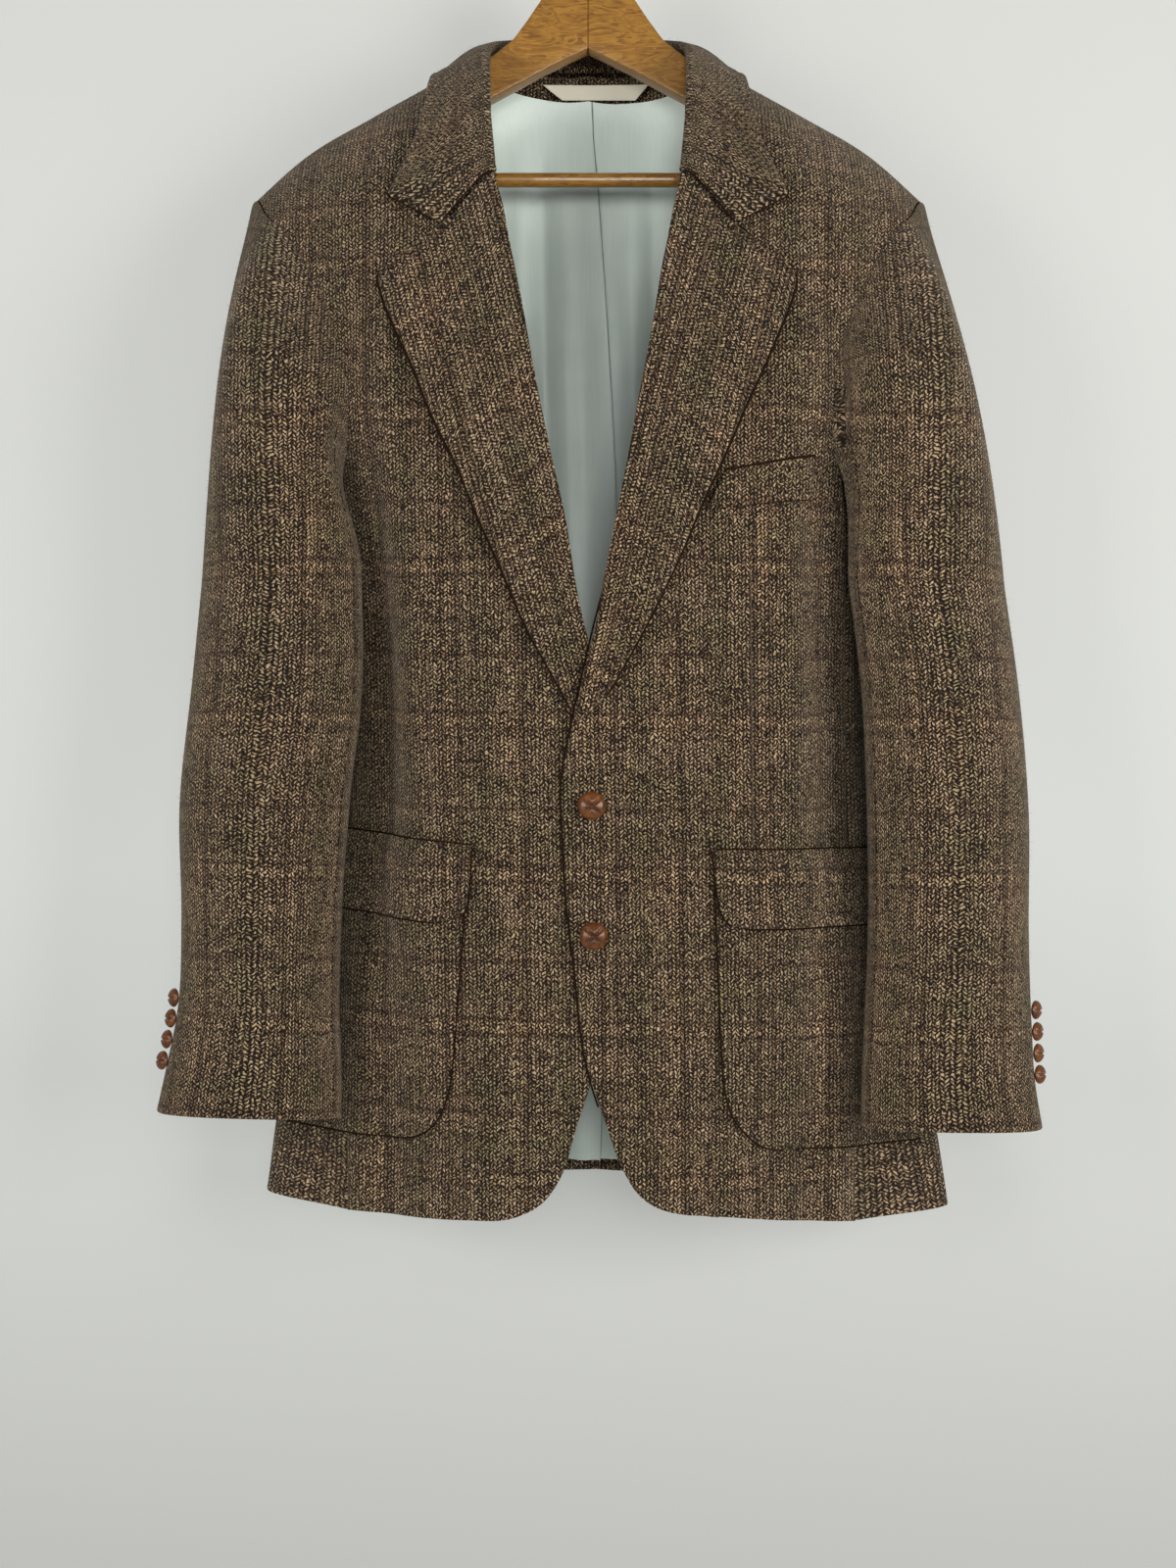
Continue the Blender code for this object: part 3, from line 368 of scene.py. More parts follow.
def lap_lift(side, girth, z):
    """How far the left forepart stands off the right one: over its edge, and over its lapel."""
    if side < 0:
        return 0 * z
    over_edge = OVER_EDGE * ease(z, -0.440, -0.510) * (1 - ease(girth, 0.030, 0.085))
    over_lapel = OVER_LAPEL * ease(z, -0.460, -0.515) * ease(z, -0.655, -0.615)
    return over_edge + over_lapel * (1 - ease(girth, 0.022, 0.070))


def bare_point(side, girth, fall, face):
    """The outer face of the cloth, before any lift, as an (n, 3) array."""
    over = ROUND_OVER[face]
    rounded = np.clip(fall / over, 0, math.pi / 2)
    drop = over * (1 - np.cos(rounded)) + np.maximum(fall - over * math.pi / 2, 0)
    x = np.minimum(np.abs(girth), 0.2)
    for _ in range(5):
        z = shoulder_z(x) - drop
        x, y = section(side, t_at(side, girth, z, face), z)
    y = RIDGE_Y + (y - RIDGE_Y) * np.sin(rounded)
    x = np.where(girth < 0, -x, x) * side
    return np.stack([x, y, z], axis=1)


# Creases placed one by one, mm: from (x, z) to (x, z), half width, height (below 0 a trough)
CREASES = {
    FRONT: (
        (-150, -420, -140, -700, 15, -6.5), (-124, -470, -112, -660, 15, 1.8),
        (-158, -640, -146, -780, 14, -4.0), (158, -410, 164, -690, 15, -6.5),
        (138, -480, 146, -650, 16, 1.6), (166, -640, 160, -780, 14, -4.0),
        (-4, -655, -76, -628, 9, 1.1), (-4, -662, -84, -690, 10, -1.3),
        (4, -655, 70, -622, 9, -1.0), (6, -664, 86, -704, 11, 1.3), (-10, -742, -66, -722, 9, 0.9),
        (8, -748, 72, -780, 11, -0.9), (-66, -560, -92, -470, 13, 1.2),
        (84, -560, 104, -480, 13, 1.1), (-60, -800, -56, -915, 14, 1.5),
        (62, -800, 58, -915, 15, 1.6), (-120, -905, -60, -925, 9, 0.9),
        (110, -908, 62, -922, 9, 0.8), (-150, -300, -176, -380, 10, -1.6),
        (150, -290, 178, -380, 10, -1.8), (-128, -230, -168, -262, 12, 1.4),
        (128, -232, 172, -262, 12, 1.6), (-190, -880, -150, -905, 14, 1.2),
        (176, -890, 140, -912, 14, 1.1),
    ),
    BACK: (
        (-30, -200, -44, -330, 16, 1.6), (38, -190, 30, -340, 14, -1.5),
        (-112, -300, -150, -430, 12, -2.2), (118, -310, 150, -440, 13, -2.0),
        (-90, -330, -118, -470, 14, 1.7), (92, -330, 124, -480, 15, 1.5),
        (-70, -560, -24, -640, 14, -1.7), (66, -570, 28, -660, 13, -1.5),
        (-96, -600, -58, -720, 15, 1.7), (88, -610, 60, -730, 16, 1.4),
        (-40, -720, -46, -900, 17, 1.8), (52, -740, 46, -905, 16, 1.6),
        (-120, -760, -126, -915, 15, -1.6), (112, -760, 122, -915, 16, -1.7),
        (-60, -150, -120, -190, 12, 1.3), (60, -152, 126, -196, 12, 1.2),
        (0, -430, 6, -560, 18, -1.2),
    ),
}


def crease_lift(points, creases):
    """How far the creases raise the cloth at some points, fading towards both their ends."""
    total = np.zeros(len(points))
    at = points[:, (0, 2)] / MM
    for x_from, z_from, x_to, z_to, width, height in creases:
        run = np.array([x_to - x_from, z_to - z_from])
        along = np.clip((at - (x_from, z_from)) @ run / (run @ run), 0, 1)
        off = np.linalg.norm(at - (x_from, z_from) - along[:, None] * run, axis=1)
        total += height * MM * np.exp(-(off / width) ** 2) * (0.3 + 0.7 * np.sin(math.pi * along))
    return total


def cloth_point(side, girth, fall, face=FRONT, lift=0.0):
    """A point of the hanging cloth, moved out of it by lift."""
    step = 0.8 * MM
    here = bare_point(side, girth, fall, face)
    low = np.maximum(fall - step, 0)
    along = bare_point(side, girth + step, fall, face) - bare_point(side, girth - step, fall, face)
    down = bare_point(side, girth, fall + step, face) - bare_point(side, girth, low, face)
    normal = np.cross(down, along) * (side if face == FRONT else -side)
    normal /= np.linalg.norm(normal, axis=1)[:, None]
    out = lift + fold_depth(np.abs(girth), here[:, 2], face) + crease_lift(here, CREASES[face])
    if face == FRONT:
        out = out + lap_lift(side, girth, here[:, 2])
    return here + normal * np.reshape(out, (-1, 1))


def at_height(side, girth, z, face=FRONT, lift=0.0):
    """A point of the cloth given by its girth and its height."""
    x, _ = section(side, t_at(side, girth, z, face), z)
    return cloth_point(side, girth, fall_of(x, z, face), face, lift)


def hang_skew(points):
    """The jacket hangs a little towards the wearer's left, and lower on that side."""
    x, y, z = points.T
    low = ease(z, -0.30, -0.94)
    shifted = x + 6 * MM * low
    lowered = z - 0.020 * x * low
    return np.stack([shifted, y, lowered], axis=1)


def flat_v(x, fall, face):
    """Height in the flat cloth: true height low down, cloth length over the shoulder."""
    return shoulder_z(x) + ROUND_OVER[face] * (math.pi / 2 - 1) - fall


def places(count, size, rim=2.2 * MM):
    """Grid places 0..1, closer together by both ends, where the rim turns over."""
    near = np.array([0, 0.12, 0.42, 1.0]) * rim / size
    middle = np.linspace(near[-1], 1 - near[-1], count - 5)[1:-1]
    return np.concatenate([near, middle, 1 - near[::-1]])


def on_cloth(surface, a, b, lift=0.0, wall=0.0, flip=False):
    """Points on a piece's outer face, moved out by lift, and the way out there."""
    step = 0.002
    points = surface(a, b)
    a, b = np.clip(a, step, 1 - step), np.clip(b, step, 1 - step)
    out = np.cross(surface(a + step, b) - surface(a - step, b),
                   surface(a, b + step) - surface(a, b - step))
    out *= (-1 if flip else 1) / np.linalg.norm(out, axis=1)[:, None]
    return hang_skew(points + out * (wall + lift)), out


def ribbon(name, points, out, width, height, material, dashed=False):
    """A low rounded cord along some points, or every other length of one as running stitches."""
    last = len(points) - 1
    aside = np.cross(out, np.gradient(points, axis=0))
    aside /= np.linalg.norm(aside, axis=1)[:, None]
    bm = bmesh.new()
    bmesh.ops.create_grid(bm, x_segments=last, y_segments=4, size=0.5)
    gaps = [face for face in bm.faces
            if dashed and round((face.calc_center_median().x + 0.5) * last - 0.5) % 2]
    for vert in bm.verts:
        at, swing = round((vert.co.x + 0.5) * last), vert.co.y * math.pi
        vert.co = (points[at] + aside[at] * (width * MM / 2 * math.sin(swing))
                   + out[at] * (height * MM * math.cos(swing)))
    bmesh.ops.delete(bm, geom=gaps, context="FACES")
    return show(name, bm, material)


# With GAP, seam lays either a dark seam line or, beside a raised edge, a line of painted shadow.
def seam(name, surface, a, b, width, height, material, lift, pitch=4.0, count=300, wall=0.0,
         flip=False, dashed=False):
    """A cord laid on a surface, its sizes in mm.  a and b are each a place or a (from, to);
    with a pitch its points are set out again at even lengths."""
    a, b = (np.linspace(*(ends if isinstance(ends, tuple) else (ends, ends)), count)
            for ends in (a, b))
    points, out = on_cloth(surface, a, b, lift * MM, wall, flip)
    if pitch:
        run = np.concatenate([[0], np.cumsum(np.linalg.norm(np.diff(points, axis=0), axis=1))])
        even = np.linspace(0, run[-1], max(3, round(run[-1] / (pitch * MM)) + 1))
        points, out = (np.stack([np.interp(even, run, column) for column in rows.T], axis=1)
                       for rows in (points, out))
    return ribbon(name, points, out, width, height, material, dashed)


def front_ribbon(name, points, width, height, material):
    """A cord on a face that looks to the front."""
    return ribbon(name, hang_skew(points), np.tile((0, -1, 0), (len(points), 1)), width, height,
                  material)


FIBRE_HALF = 0.055 * MM
FIBRE_LENGTHS = (1.2, 3.4)
FIBRE_TIP = 0.4            # its width, as a share of the foot's
EDGE_BEAD = 0.5 * MM       # the turned-in seam allowance shows as a low bead along an edge
THIN_RIM = 0.12            # how much of a half wall the very rim keeps


def fuzz(name, mesh, count):
    """Loose fibres that stand off a piece, all in one mesh of narrow blades."""
    mesh.calc_loop_triangles()
    at = np.empty(len(mesh.vertices) * 3)
    corners = np.empty(len(mesh.loop_triangles) * 3, int)
    mesh.vertices.foreach_get("co", at)
    mesh.loop_triangles.foreach_get("vertices", corners)
    triangles = at.reshape(-1, 3)[corners.reshape(-1, 3)]
    across = np.cross(triangles[:, 1] - triangles[:, 0], triangles[:, 2] - triangles[:, 0])
    size = np.linalg.norm(across, axis=1)
    chance = np.random.default_rng(len(mesh.vertices))
    chosen = chance.choice(len(size), count, p=size / size.sum())
    share = np.sqrt(chance.random((count, 1))), chance.random((count, 1))
    foot = (triangles[chosen, 0] * (1 - share[0]) + triangles[chosen, 1] * share[0] * (1 - share[1])
            + triangles[chosen, 2] * share[0] * share[1])
    lean = across[chosen] / size[chosen, None] * 0.7 + chance.normal(0, 0.5, (count, 3))
    lean *= (chance.uniform(*FIBRE_LENGTHS, (count, 1)) * MM
             / np.linalg.norm(lean, axis=1)[:, None])
    aside = np.cross(lean, chance.normal(0, 1, (count, 3)))
    aside *= FIBRE_HALF / np.linalg.norm(aside, axis=1)[:, None]
    last = 2 * count - 1
    bm = bmesh.new()
    bmesh.ops.create_grid(bm, x_segments=last, y_segments=1, size=0.5)
    gaps = [face for face in bm.faces
            if round((face.calc_center_median().x + 0.5) * last - 0.5) % 2]
    for vert in bm.verts:
        step, tip = round((vert.co.x + 0.5) * last), vert.co.y > 0
        k, edge = step // 2, 1 if step % 2 else -1
        vert.co = foot[k] + lean[k] * tip + aside[k] * edge * (FIBRE_TIP if tip else 1)
    bmesh.ops.delete(bm, geom=gaps, context="FACES")
    return show("fuzz_" + name, bm, FIBRE)


def sheet_order(broad):
    """Sorts a sheet's faces: the broad ones as made, then its rim's by place, alike in each run."""
    def place(face):
        x, y, _ = face.calc_center_median()
        return face.index if face.index < broad else broad + 1000 + 1000 * x + y
    return place


def walled(name, surface, across, along, size, material, wall=WALL, flip=False, outward=False,
           rim=1.6 * MM, plan=None, beaded=0.0, nap=0, slot="tweed"):
    """A walled sheet with rounded rims.  surface turns grid places into points of its outer
    face, or of its inner face where the wall is built outward; plan gives its flat pattern,
    size its width and length, and nap how many loose fibres stand off it."""
    a_at, b_at = places(across, size[0]), places(along, size[1])
    across, along = len(a_at) - 1, len(b_at) - 1
    grid = (across + 1, along + 1, -1)
    a, b = (values.ravel() for values in np.meshgrid(a_at, b_at, indexing="ij"))
    points = surface(a, b).reshape(grid)
    normal = np.cross(np.gradient(points, axis=0), np.gradient(points, axis=1))
    normal *= -1 if flip else 1
    length = np.linalg.norm(normal, axis=2)
    pinched = length < 0.06 * np.median(length)
    for i in [*range(across // 2, 0, -1), *range(across // 2, across)]:
        beyond = i - 1 if i <= across // 2 else i + 1
        normal[beyond][pinched[beyond]] = normal[i][pinched[beyond]]
    normal /= np.linalg.norm(normal, axis=2)[:, :, None]
    inset = np.minimum(np.minimum(a, 1 - a) * size[0], np.minimum(b, 1 - b) * size[1])
    near = np.clip(1 - inset / rim, 0, 1)
    half = (wall / 2 * (THIN_RIM + (1 - THIN_RIM) * np.sqrt(1 - near ** 2))).reshape(grid)
    bead = (EDGE_BEAD * (np.exp(-((inset - 3 * MM) / (2.2 * MM)) ** 2)
                         - 0.7 * np.exp(-((inset - 7.5 * MM) / (1.6 * MM)) ** 2))
            * beaded).reshape(grid)
    middle = wall / 2 if outward else -wall / 2
    layers = [hang_skew((points + normal * out).reshape(-1, 3))
              for out in (middle + half + bead, middle - half)]
    flat = plan(a, b) if plan else np.stack([a * size[0], b * size[1]], axis=1)
    bm = bmesh.new()
    bmesh.ops.create_grid(bm, x_segments=across, y_segments=along, size=0.5)
    sheet = set(bm.verts)
    bmesh.ops.extrude_face_region(bm, geom=list(bm.faces), use_keep_orig=True)
    bm.faces.sort(key=sheet_order(across * along * 2))
    pattern = bm.loops.layers.uv.new("cloth")
    for vert in bm.verts:
        at = round((vert.co.x + 0.5) * across) * (along + 1) + round((vert.co.y + 0.5) * along)
        vert.co = layers[0 if (vert in sheet) != outward else 1][at]
        for loop in vert.link_loops:
            loop[pattern].uv = flat[at]
    bmesh.ops.recalc_face_normals(bm, faces=bm.faces)
    piece = show(name, bm, material)
    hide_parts(name)
    if nap:
        fuzz(name, piece.data, nap)
    return piece


# ---- Tweed ------------------------------------------------------------------------------
# Heathered brown wool, hopsack woven from slubbed two-tone yarn, with a faint plaid of
# paired dark-brown lines and mossy bands; raised and hairy from the brush.
YARN = (2.6 * MM, 2.7 * MM)            # pitch of the flecks across and up the cloth
WARP_REPEAT, WEFT_REPEAT = 104 * MM, 102 * MM
DARK_LINE, MOSS, OATMEAL = (0.52, 0.46, 0.42), (0.83, 0.87, 0.80), (1.17, 1.15, 1.12)
GROUND = (1.0, 1.0, 1.0)
WARP_LINES = (
    (0.02, GROUND), (0.045, DARK_LINE), (0.07, OATMEAL), (0.12, GROUND), (0.145, DARK_LINE),
    (0.17, GROUND), (0.27, MOSS), (0.34, MOSS), (0.40, GROUND), (0.52, OATMEAL), (0.56, DARK_LINE),
    (0.60, GROUND), (0.72, GROUND), (0.78, MOSS), (0.84, MOSS), (0.90, GROUND))
WEFT_LINES = (
    (0.03, GROUND), (0.05, DARK_LINE), (0.075, OATMEAL), (0.13, OATMEAL), (0.15, DARK_LINE),
    (0.18, GROUND), (0.30, MOSS), (0.37, MOSS), (0.42, GROUND), (0.50, GROUND), (0.53, DARK_LINE),
    (0.56, GROUND), (0.66, MOSS), (0.72, MOSS), (0.80, GROUND))
YARN_COLOURS = (
    (0.0, (0.0030, 0.0013, 0.0006)), (0.26, (0.0108, 0.0049, 0.0023)),
    (0.50, (0.0375, 0.0190, 0.0091)), (0.74, (0.104, 0.0625, 0.0335)), (1.0, (0.34, 0.252, 0.160)))
MIDDLE_TONE, YARN_MIDDLE, CONTRAST = 0.44, 0.46, 1.7
SLUB = (2.6 * MM, 4.0 * MM, 0)         # how far the yarn wanders
HAIRS = (1000, 560, 0)
YARN_SLANT, FLECK_ROUND, FLECK_LONG = 0.85, 3.8, 6.5


def blend(tree, share, first, second, mode="MIX"):
    return node(tree, "Mix", {"data_type": "RGBA", "blend_type": mode}, i0=share, i6=first,
                i7=second).outputs[2]


def mapped(tree, value, low, high, first=0.0, last=1.0, kind="LINEAR"):
    return node(tree, "MapRange", {"interpolation_type": kind}, i0=value, i1=low, i2=high,
                i3=first, i4=last).outputs[0]


def pair(tree, x, y):
    return node(tree, "CombineXYZ", None, X=x, Y=y).outputs[0]


def stripes(tree, along, repeat, lines):
    """Colours that repeat along a coordinate, as threads do in the loom."""
    return ramp(tree, maths(tree, "FRACT", maths(tree, "DIVIDE", along, repeat)), *lines)


def off_middle(tree, value, whole):
    return maths(tree, "SUBTRACT", maths(tree, "SUBTRACT", value, whole), 0.5)


TWEED, tree = new_material("brown tweed")
cloth_at = node(tree, "UVMap", {"uv_map": "cloth"}).outputs[0]
drift = noise(tree, cloth_at, 190.0, 3.0, flat=True, output="Color")
shift = node(tree, "VectorMath", {"operation": "MULTIPLY_ADD"}, i0=drift, i1=SLUB,
             i2=cloth_at).outputs[0]
thread_x, thread_y = node(tree, "SeparateXYZ", None, i0=shift).outputs[:2]
column = maths(tree, "DIVIDE", thread_x, YARN[0])
warp_end = maths(tree, "FLOOR", column)
off_column = off_middle(tree, column, warp_end)
odd = maths(tree, "MULTIPLY", maths(tree, "FRACT", maths(tree, "MULTIPLY", warp_end, 0.5)), 2.0)
slant = maths(tree, "MULTIPLY", off_column,
              maths(tree, "MULTIPLY_ADD", odd, -2 * YARN_SLANT, YARN_SLANT))
row = maths(tree, "ADD", maths(tree, "DIVIDE", thread_y, YARN[1]),
            maths(tree, "MULTIPLY_ADD", odd, 0.5, slant))
pick = maths(tree, "FLOOR", row)
off_row = off_middle(tree, row, pick)
across, along = (maths(tree, "MULTIPLY", maths(tree, "POWER", off, 2.0), size)
                 for off, size in ((off_column, FLECK_ROUND), (off_row, FLECK_LONG)))
fleck = mapped(tree, maths(tree, "SQRT", maths(tree, "ADD", across, along)), 0.25, 1.25, 1.0, 0.0,
               "SMOOTHSTEP")
own = node(tree, "TexWhiteNoise", {"noise_dimensions": "2D"},
           Vector=pair(tree, warp_end, pick)).outputs[0]
end_tone = noise(tree, pair(tree, maths(tree, "MULTIPLY", warp_end, 3.7),
                            maths(tree, "MULTIPLY", thread_y, 22.0)), detail=1.0, flat=True)
pick_tone = noise(tree, pair(tree, maths(tree, "MULTIPLY", thread_x, 26.0),
                             maths(tree, "MULTIPLY", pick, 4.3)), detail=1.0, flat=True)
hair = noise(tree, stretched(tree, shift, HAIRS), detail=3.0, flat=True, Roughness=0.75)
mottle = noise(tree, cloth_at, 14.0, flat=True, Roughness=0.5)
tone = MIDDLE_TONE
for part, weight, middle in ((fleck, 0.62, 0.48), (own, 0.26, 0.5), (end_tone, 0.24, 0.5),
                             (pick_tone, 0.20, 0.5), (hair, 2.3, 0.5), (mottle, 0.05, 0.5)):
    tone = maths(tree, "MULTIPLY_ADD", maths(tree, "SUBTRACT", part, middle), weight, tone)
yarn = ramp(tree, maths(tree, "MULTIPLY_ADD", maths(tree, "SUBTRACT", tone, MIDDLE_TONE),
                        CONTRAST, YARN_MIDDLE), *YARN_COLOURS)
cloth_x, cloth_y = node(tree, "SeparateXYZ", None, i0=cloth_at).outputs[:2]
warp = stripes(tree, maths(tree, "MULTIPLY_ADD", off_row, 0.5 * MM, cloth_x), WARP_REPEAT,
               WARP_LINES)
weft = stripes(tree, maths(tree, "MULTIPLY_ADD", off_column, 0.5 * MM, cloth_y), WEFT_REPEAT,
               WEFT_LINES)
plaid = blend(tree, 1.0, blend(tree, 1.0, yarn, warp, "MULTIPLY"), weft, "MULTIPLY")
checked = blend(tree, mapped(tree, own, 0.0, 0.5, 0.6, 1.0), yarn, plaid)
tint = ramp(tree, mottle, (0.34, (0.97, 1.0, 0.96)), (0.50, GROUND), (0.66, (1.03, 1.0, 0.97)))
raised = maths(tree, "MULTIPLY_ADD", hair, 0.5, maths(tree, "MULTIPLY", fleck, 0.9))
dress(tree, Base_Color=blend(tree, 1.0, checked, tint, "MULTIPLY"),
      Normal=relief(tree, raised, 0.9, 0.8 * MM), Roughness=0.92, Specular_IOR_Level=0.18,
      Sheen_Weight=0.16, Sheen_Roughness=0.45, Sheen_Tint=(0.86, 0.74, 0.60, 1))
# GAP is near-black brown, used for dark seam lines and, beside the raised edges of the lapels,
# collar, left front edge, pockets, flaps and breast welt, for painted shadow.
GAP, tree = new_material("shadowed seam")
dress(tree, Base_Color=(0.014, 0.0076, 0.0042, 1), Roughness=1, Specular_IOR_Level=0)
FIBRE, tree = new_material("loose wool fibres")
dress(tree, Base_Color=(0.17, 0.118, 0.070, 1), Roughness=1)
THREAD, tree = new_material("brown thread")
dress(tree, Roughness=0.8, Base_Color=ramp(
    tree, noise(tree, object_at(tree), 500.0), (0.35, (0.020, 0.011, 0.006)),
    (0.65, (0.060, 0.037, 0.021))))
STITCHES = {"width": 0.55, "height": 0.2, "material": THREAD, "pitch": 1.9, "dashed": True}

# ---- Foreparts --------------------------------------------------------------------------
# Tweed panels from the front edge to the side seam, the left one buttoned over the right.
# Each row runs from the front edge or roll line (in) to the side seam or armhole (out).
FOREPART = {
    1: (
        (78, -929, 176, -940), (56, -928, 176, -929), (40, -924, 176, -917),
        (27, -915, 176, -901), (16, -897, 176, -885), (6, -869, 176, -864),
        (-4, -838, 176, -838), (-14, -760, 176, -768), (-18, -722, 176, -724),
        (-20, -680, 176, -682), (-20, -640, 176, -640), (-14, -608, 176, -606),
        (-2, -557, 176, -563), (13, -500, 176, -520), (24, -452, 176, -480),
        (34, -398, 171, -432), (44, -341, 166, -391), (53, -284, 173, -347),
        (65, -238, 190, -302), (71.5, -196, 212, -264), (77, -160, 227, -246),
        (82.5, -132, 238, -233),
    ),
    -1: (
        (83, -936, 170, -940), (62, -935, 170, -930), (47, -930, 170, -918),
        (35, -922, 170, -902), (24, -906, 170, -887), (13, -871, 170, -864),
        (4, -844, 170, -838), (-10, -785, 170, -785), (-19, -722, 170, -724),
        (-21, -680, 170, -682), (-21, -645, 170, -645), (-17, -612, 170, -608),
        (5, -557, 170, -563), (16, -492, 170, -515), (26, -440, 170, -474),
        (35, -394, 168, -430), (44, -341, 164, -388), (53, -286, 171, -345),
        (65, -238, 188, -300), (71.5, -196, 211, -263), (77, -160, 226, -246),
        (82.5, -132, 237, -232),
    ),
}

DARTS = {1: (106, -505, 106, -683), -1: (108, -560, 107, -672)}      # from (x, z) to (x, z), mm
LEVEL_FALL = (0.10, 0.20)      # rows follow the shoulder above the first fall, run level below
FRONT_CLOSER, BACK_CLOSER = 1.3, 1.5



def row_spacing(rows):
    """Shares the rows out by the mean length of their two edges."""
    run = [0.0]
    for low, high in zip(rows, rows[1:]):
        run.append(run[-1] + math.dist(low[:2], high[:2]) + math.dist(low[2:], high[2:]))
    return [length / run[-1] for length in run]


class Edge:
    """One edge of a panel, through rows of (x, z), read by 0..1."""

    def __init__(self, side, rows, face, at):
        self.at = np.array(at)
        self.x, self.z = (np.array(column, dtype=float) * MM for column in zip(*rows))
        self.girth = np.sign(self.x) * girth_at(side, np.abs(self.x), self.z, face)
        self.fall = fall_of(np.abs(self.x), self.z, face)

    def read(self, b):
        return [smooth(self.at, values, b) for values in (self.girth, self.fall, self.x, self.z)]


class Panel:
    """A piece of the hanging cloth, ruled between two edges."""

    def __init__(self, side, rows, face=FRONT):
        spacing = row_spacing(rows)
        self.side, self.face = side, face
        self.inner = Edge(side, [row[:2] for row in rows], face, spacing)
        self.outer = Edge(side, [row[2:] for row in rows], face, spacing)

    def place(self, a, b):
        """Girth and fall at (a, b), a from the inner edge and b from the lowest row."""
        girth, fall_high, x, z = (start + (end - start) * a for start, end in
                                  zip(self.inner.read(b), self.outer.read(b)))
        level = ease(fall_high, *LEVEL_FALL)
        fall = fall_high * (1 - level) + fall_of(np.abs(x), z, self.face) * level
        return girth, np.maximum(fall, HALF_SEAM)

    def point(self, a, b, lift=0.0):
        girth, fall = self.place(a, b)
        return cloth_point(self.side, girth, fall, self.face, lift)


def within(a, trim=HALF_SEAM, width=0.16):
    """Draws 0..1 in by half a seam at each end of a width."""
    return trim / width + a * (1 - 2 * trim / width)


def closer_above(b, power):
    """Sets rows closer together towards the shoulder, where the cloth curves most."""
    return 1 - (1 - b) ** power


foreparts = {side: Panel(side, rows) for side, rows in FOREPART.items()}


def panel_plan(panel, place):
    """Flat pattern of a panel: girth across and height up, both true to the cloth."""
    def plan(a, b):
        girth, fall = panel.place(*place(a, b))
        x = np.minimum(np.abs(girth), 0.24)
        return np.stack([girth * panel.side, flat_v(x, fall, panel.face)], axis=1)
    return plan


for side, hand in HANDS.items():
    panel = foreparts[side]
    place = lambda a, b: (within(a), within(closer_above(b, FRONT_CLOSER), width=1.0))
    front = lambda a, b: panel.point(*place(a, b))
    walled("front_" + hand, front, 70, 200, (0.20, 0.80), TWEED, flip=side < 0,
           plan=panel_plan(panel, place), nap=5000)
    if side > 0:
        # Painted shadow: a dark cord just past the left front edge, sunk into the gap where that
        # edge stands off the right forepart.
        seam("front_edge_shadow", front, -0.006, (0.10, 0.52), 1.3, 0.4, GAP, -1.5)
    seam("side_seam_" + hand, front, 1.001, (0, 0.66), 1.2, 0.25, THREAD, -0.3, flip=side < 0)
    seam("shoulder_seam_" + hand, front, (0, 1), 1.0, 1.2, 0.25, THREAD, -0.3, flip=side < 0)
    x_from, z_from, x_to, z_to = (value * MM for value in DARTS[side])
    z = np.linspace(z_from, z_to, 60)
    dart = at_height(side, girth_at(side, np.linspace(x_from, x_to, 60), z), z, FRONT, 0.05 * MM)
    front_ribbon("dart_" + hand, dart, 0.9, 0.25, THREAD)

# ---- Side bodies and backs --------------------------------------------------------------
# Narrow side panels shape the waist between the front and back seams; the back is two
# panels seamed down the middle and cut to the shoulder seams and the neck.
FRONT_SEAM_X = {1: 176 * MM, -1: 170 * MM}
BACK_SEAM_X = 180 * MM
ARMHOLE_FRONT_Z = {1: -432 * MM, -1: -430 * MM}
ARMHOLE_LOW_Z = -466 * MM
ARMHOLE_BACK_Z = -420 * MM
SIDE_HEM_Z = (-940 * MM, -937 * MM)
SIDE_WIDTH = 85 * MM       # of the side body in the flat cloth
BACK_ROWS = (
    (0, -926, 180, -937), (0, -850, 180, -850), (0, -700, 180, -700), (0, -560, 180, -570),
    (0, -440, 180, -470), (0, -390, 180, -420), (0, -330, 177, -372), (0, -270, 180, -330),
    (0, -205, 192, -290), (0, -160, 212, -257), (0, -126, 227, -243), (0, -98, 238, -233),
)
NECK_HALF = 82 * MM        # the back neck curve, from the shoulder seam
NECK_DIP = 62 * MM         # to the centre back, measured down the cloth


def side_point(side, a, b, lift=0.0):
    """The side body: a from the front seam to the back seam, b from the hem to the armhole."""
    sag = 4 * a * (1 - a)
    corner = ARMHOLE_FRONT_Z[side] + (ARMHOLE_BACK_Z - ARMHOLE_FRONT_Z[side]) * a
    top = corner + (ARMHOLE_LOW_Z - (ARMHOLE_FRONT_Z[side] + ARMHOLE_BACK_Z) / 2) * sag
    hem = SIDE_HEM_Z[0] + (SIDE_HEM_Z[1] - SIDE_HEM_Z[0]) * a
    z = hem + (top - hem) * b
    start = girth_at(side, np.full(len(z), FRONT_SEAM_X[side]), z)
    end = half_girth(side, z) - girth_at(side, np.full(len(z), BACK_SEAM_X), z, BACK)
    girth = start + (end - start) * a
    return at_height(side, girth, z, FRONT, lift)


class BackPanel(Panel):
    """Half of the back, its top edge cut to the shoulder seam and the back neck."""

    def place(self, a, b):
        girth, fall = super().place(a, b)
        dip = NECK_DIP * (1 - np.clip(girth / NECK_HALF, 0, 1) ** 2.4)
        return girth, fall + dip * (1 - ease(fall, 0, 0.16))


backs = {side: BackPanel(side, BACK_ROWS, BACK) for side in HANDS}


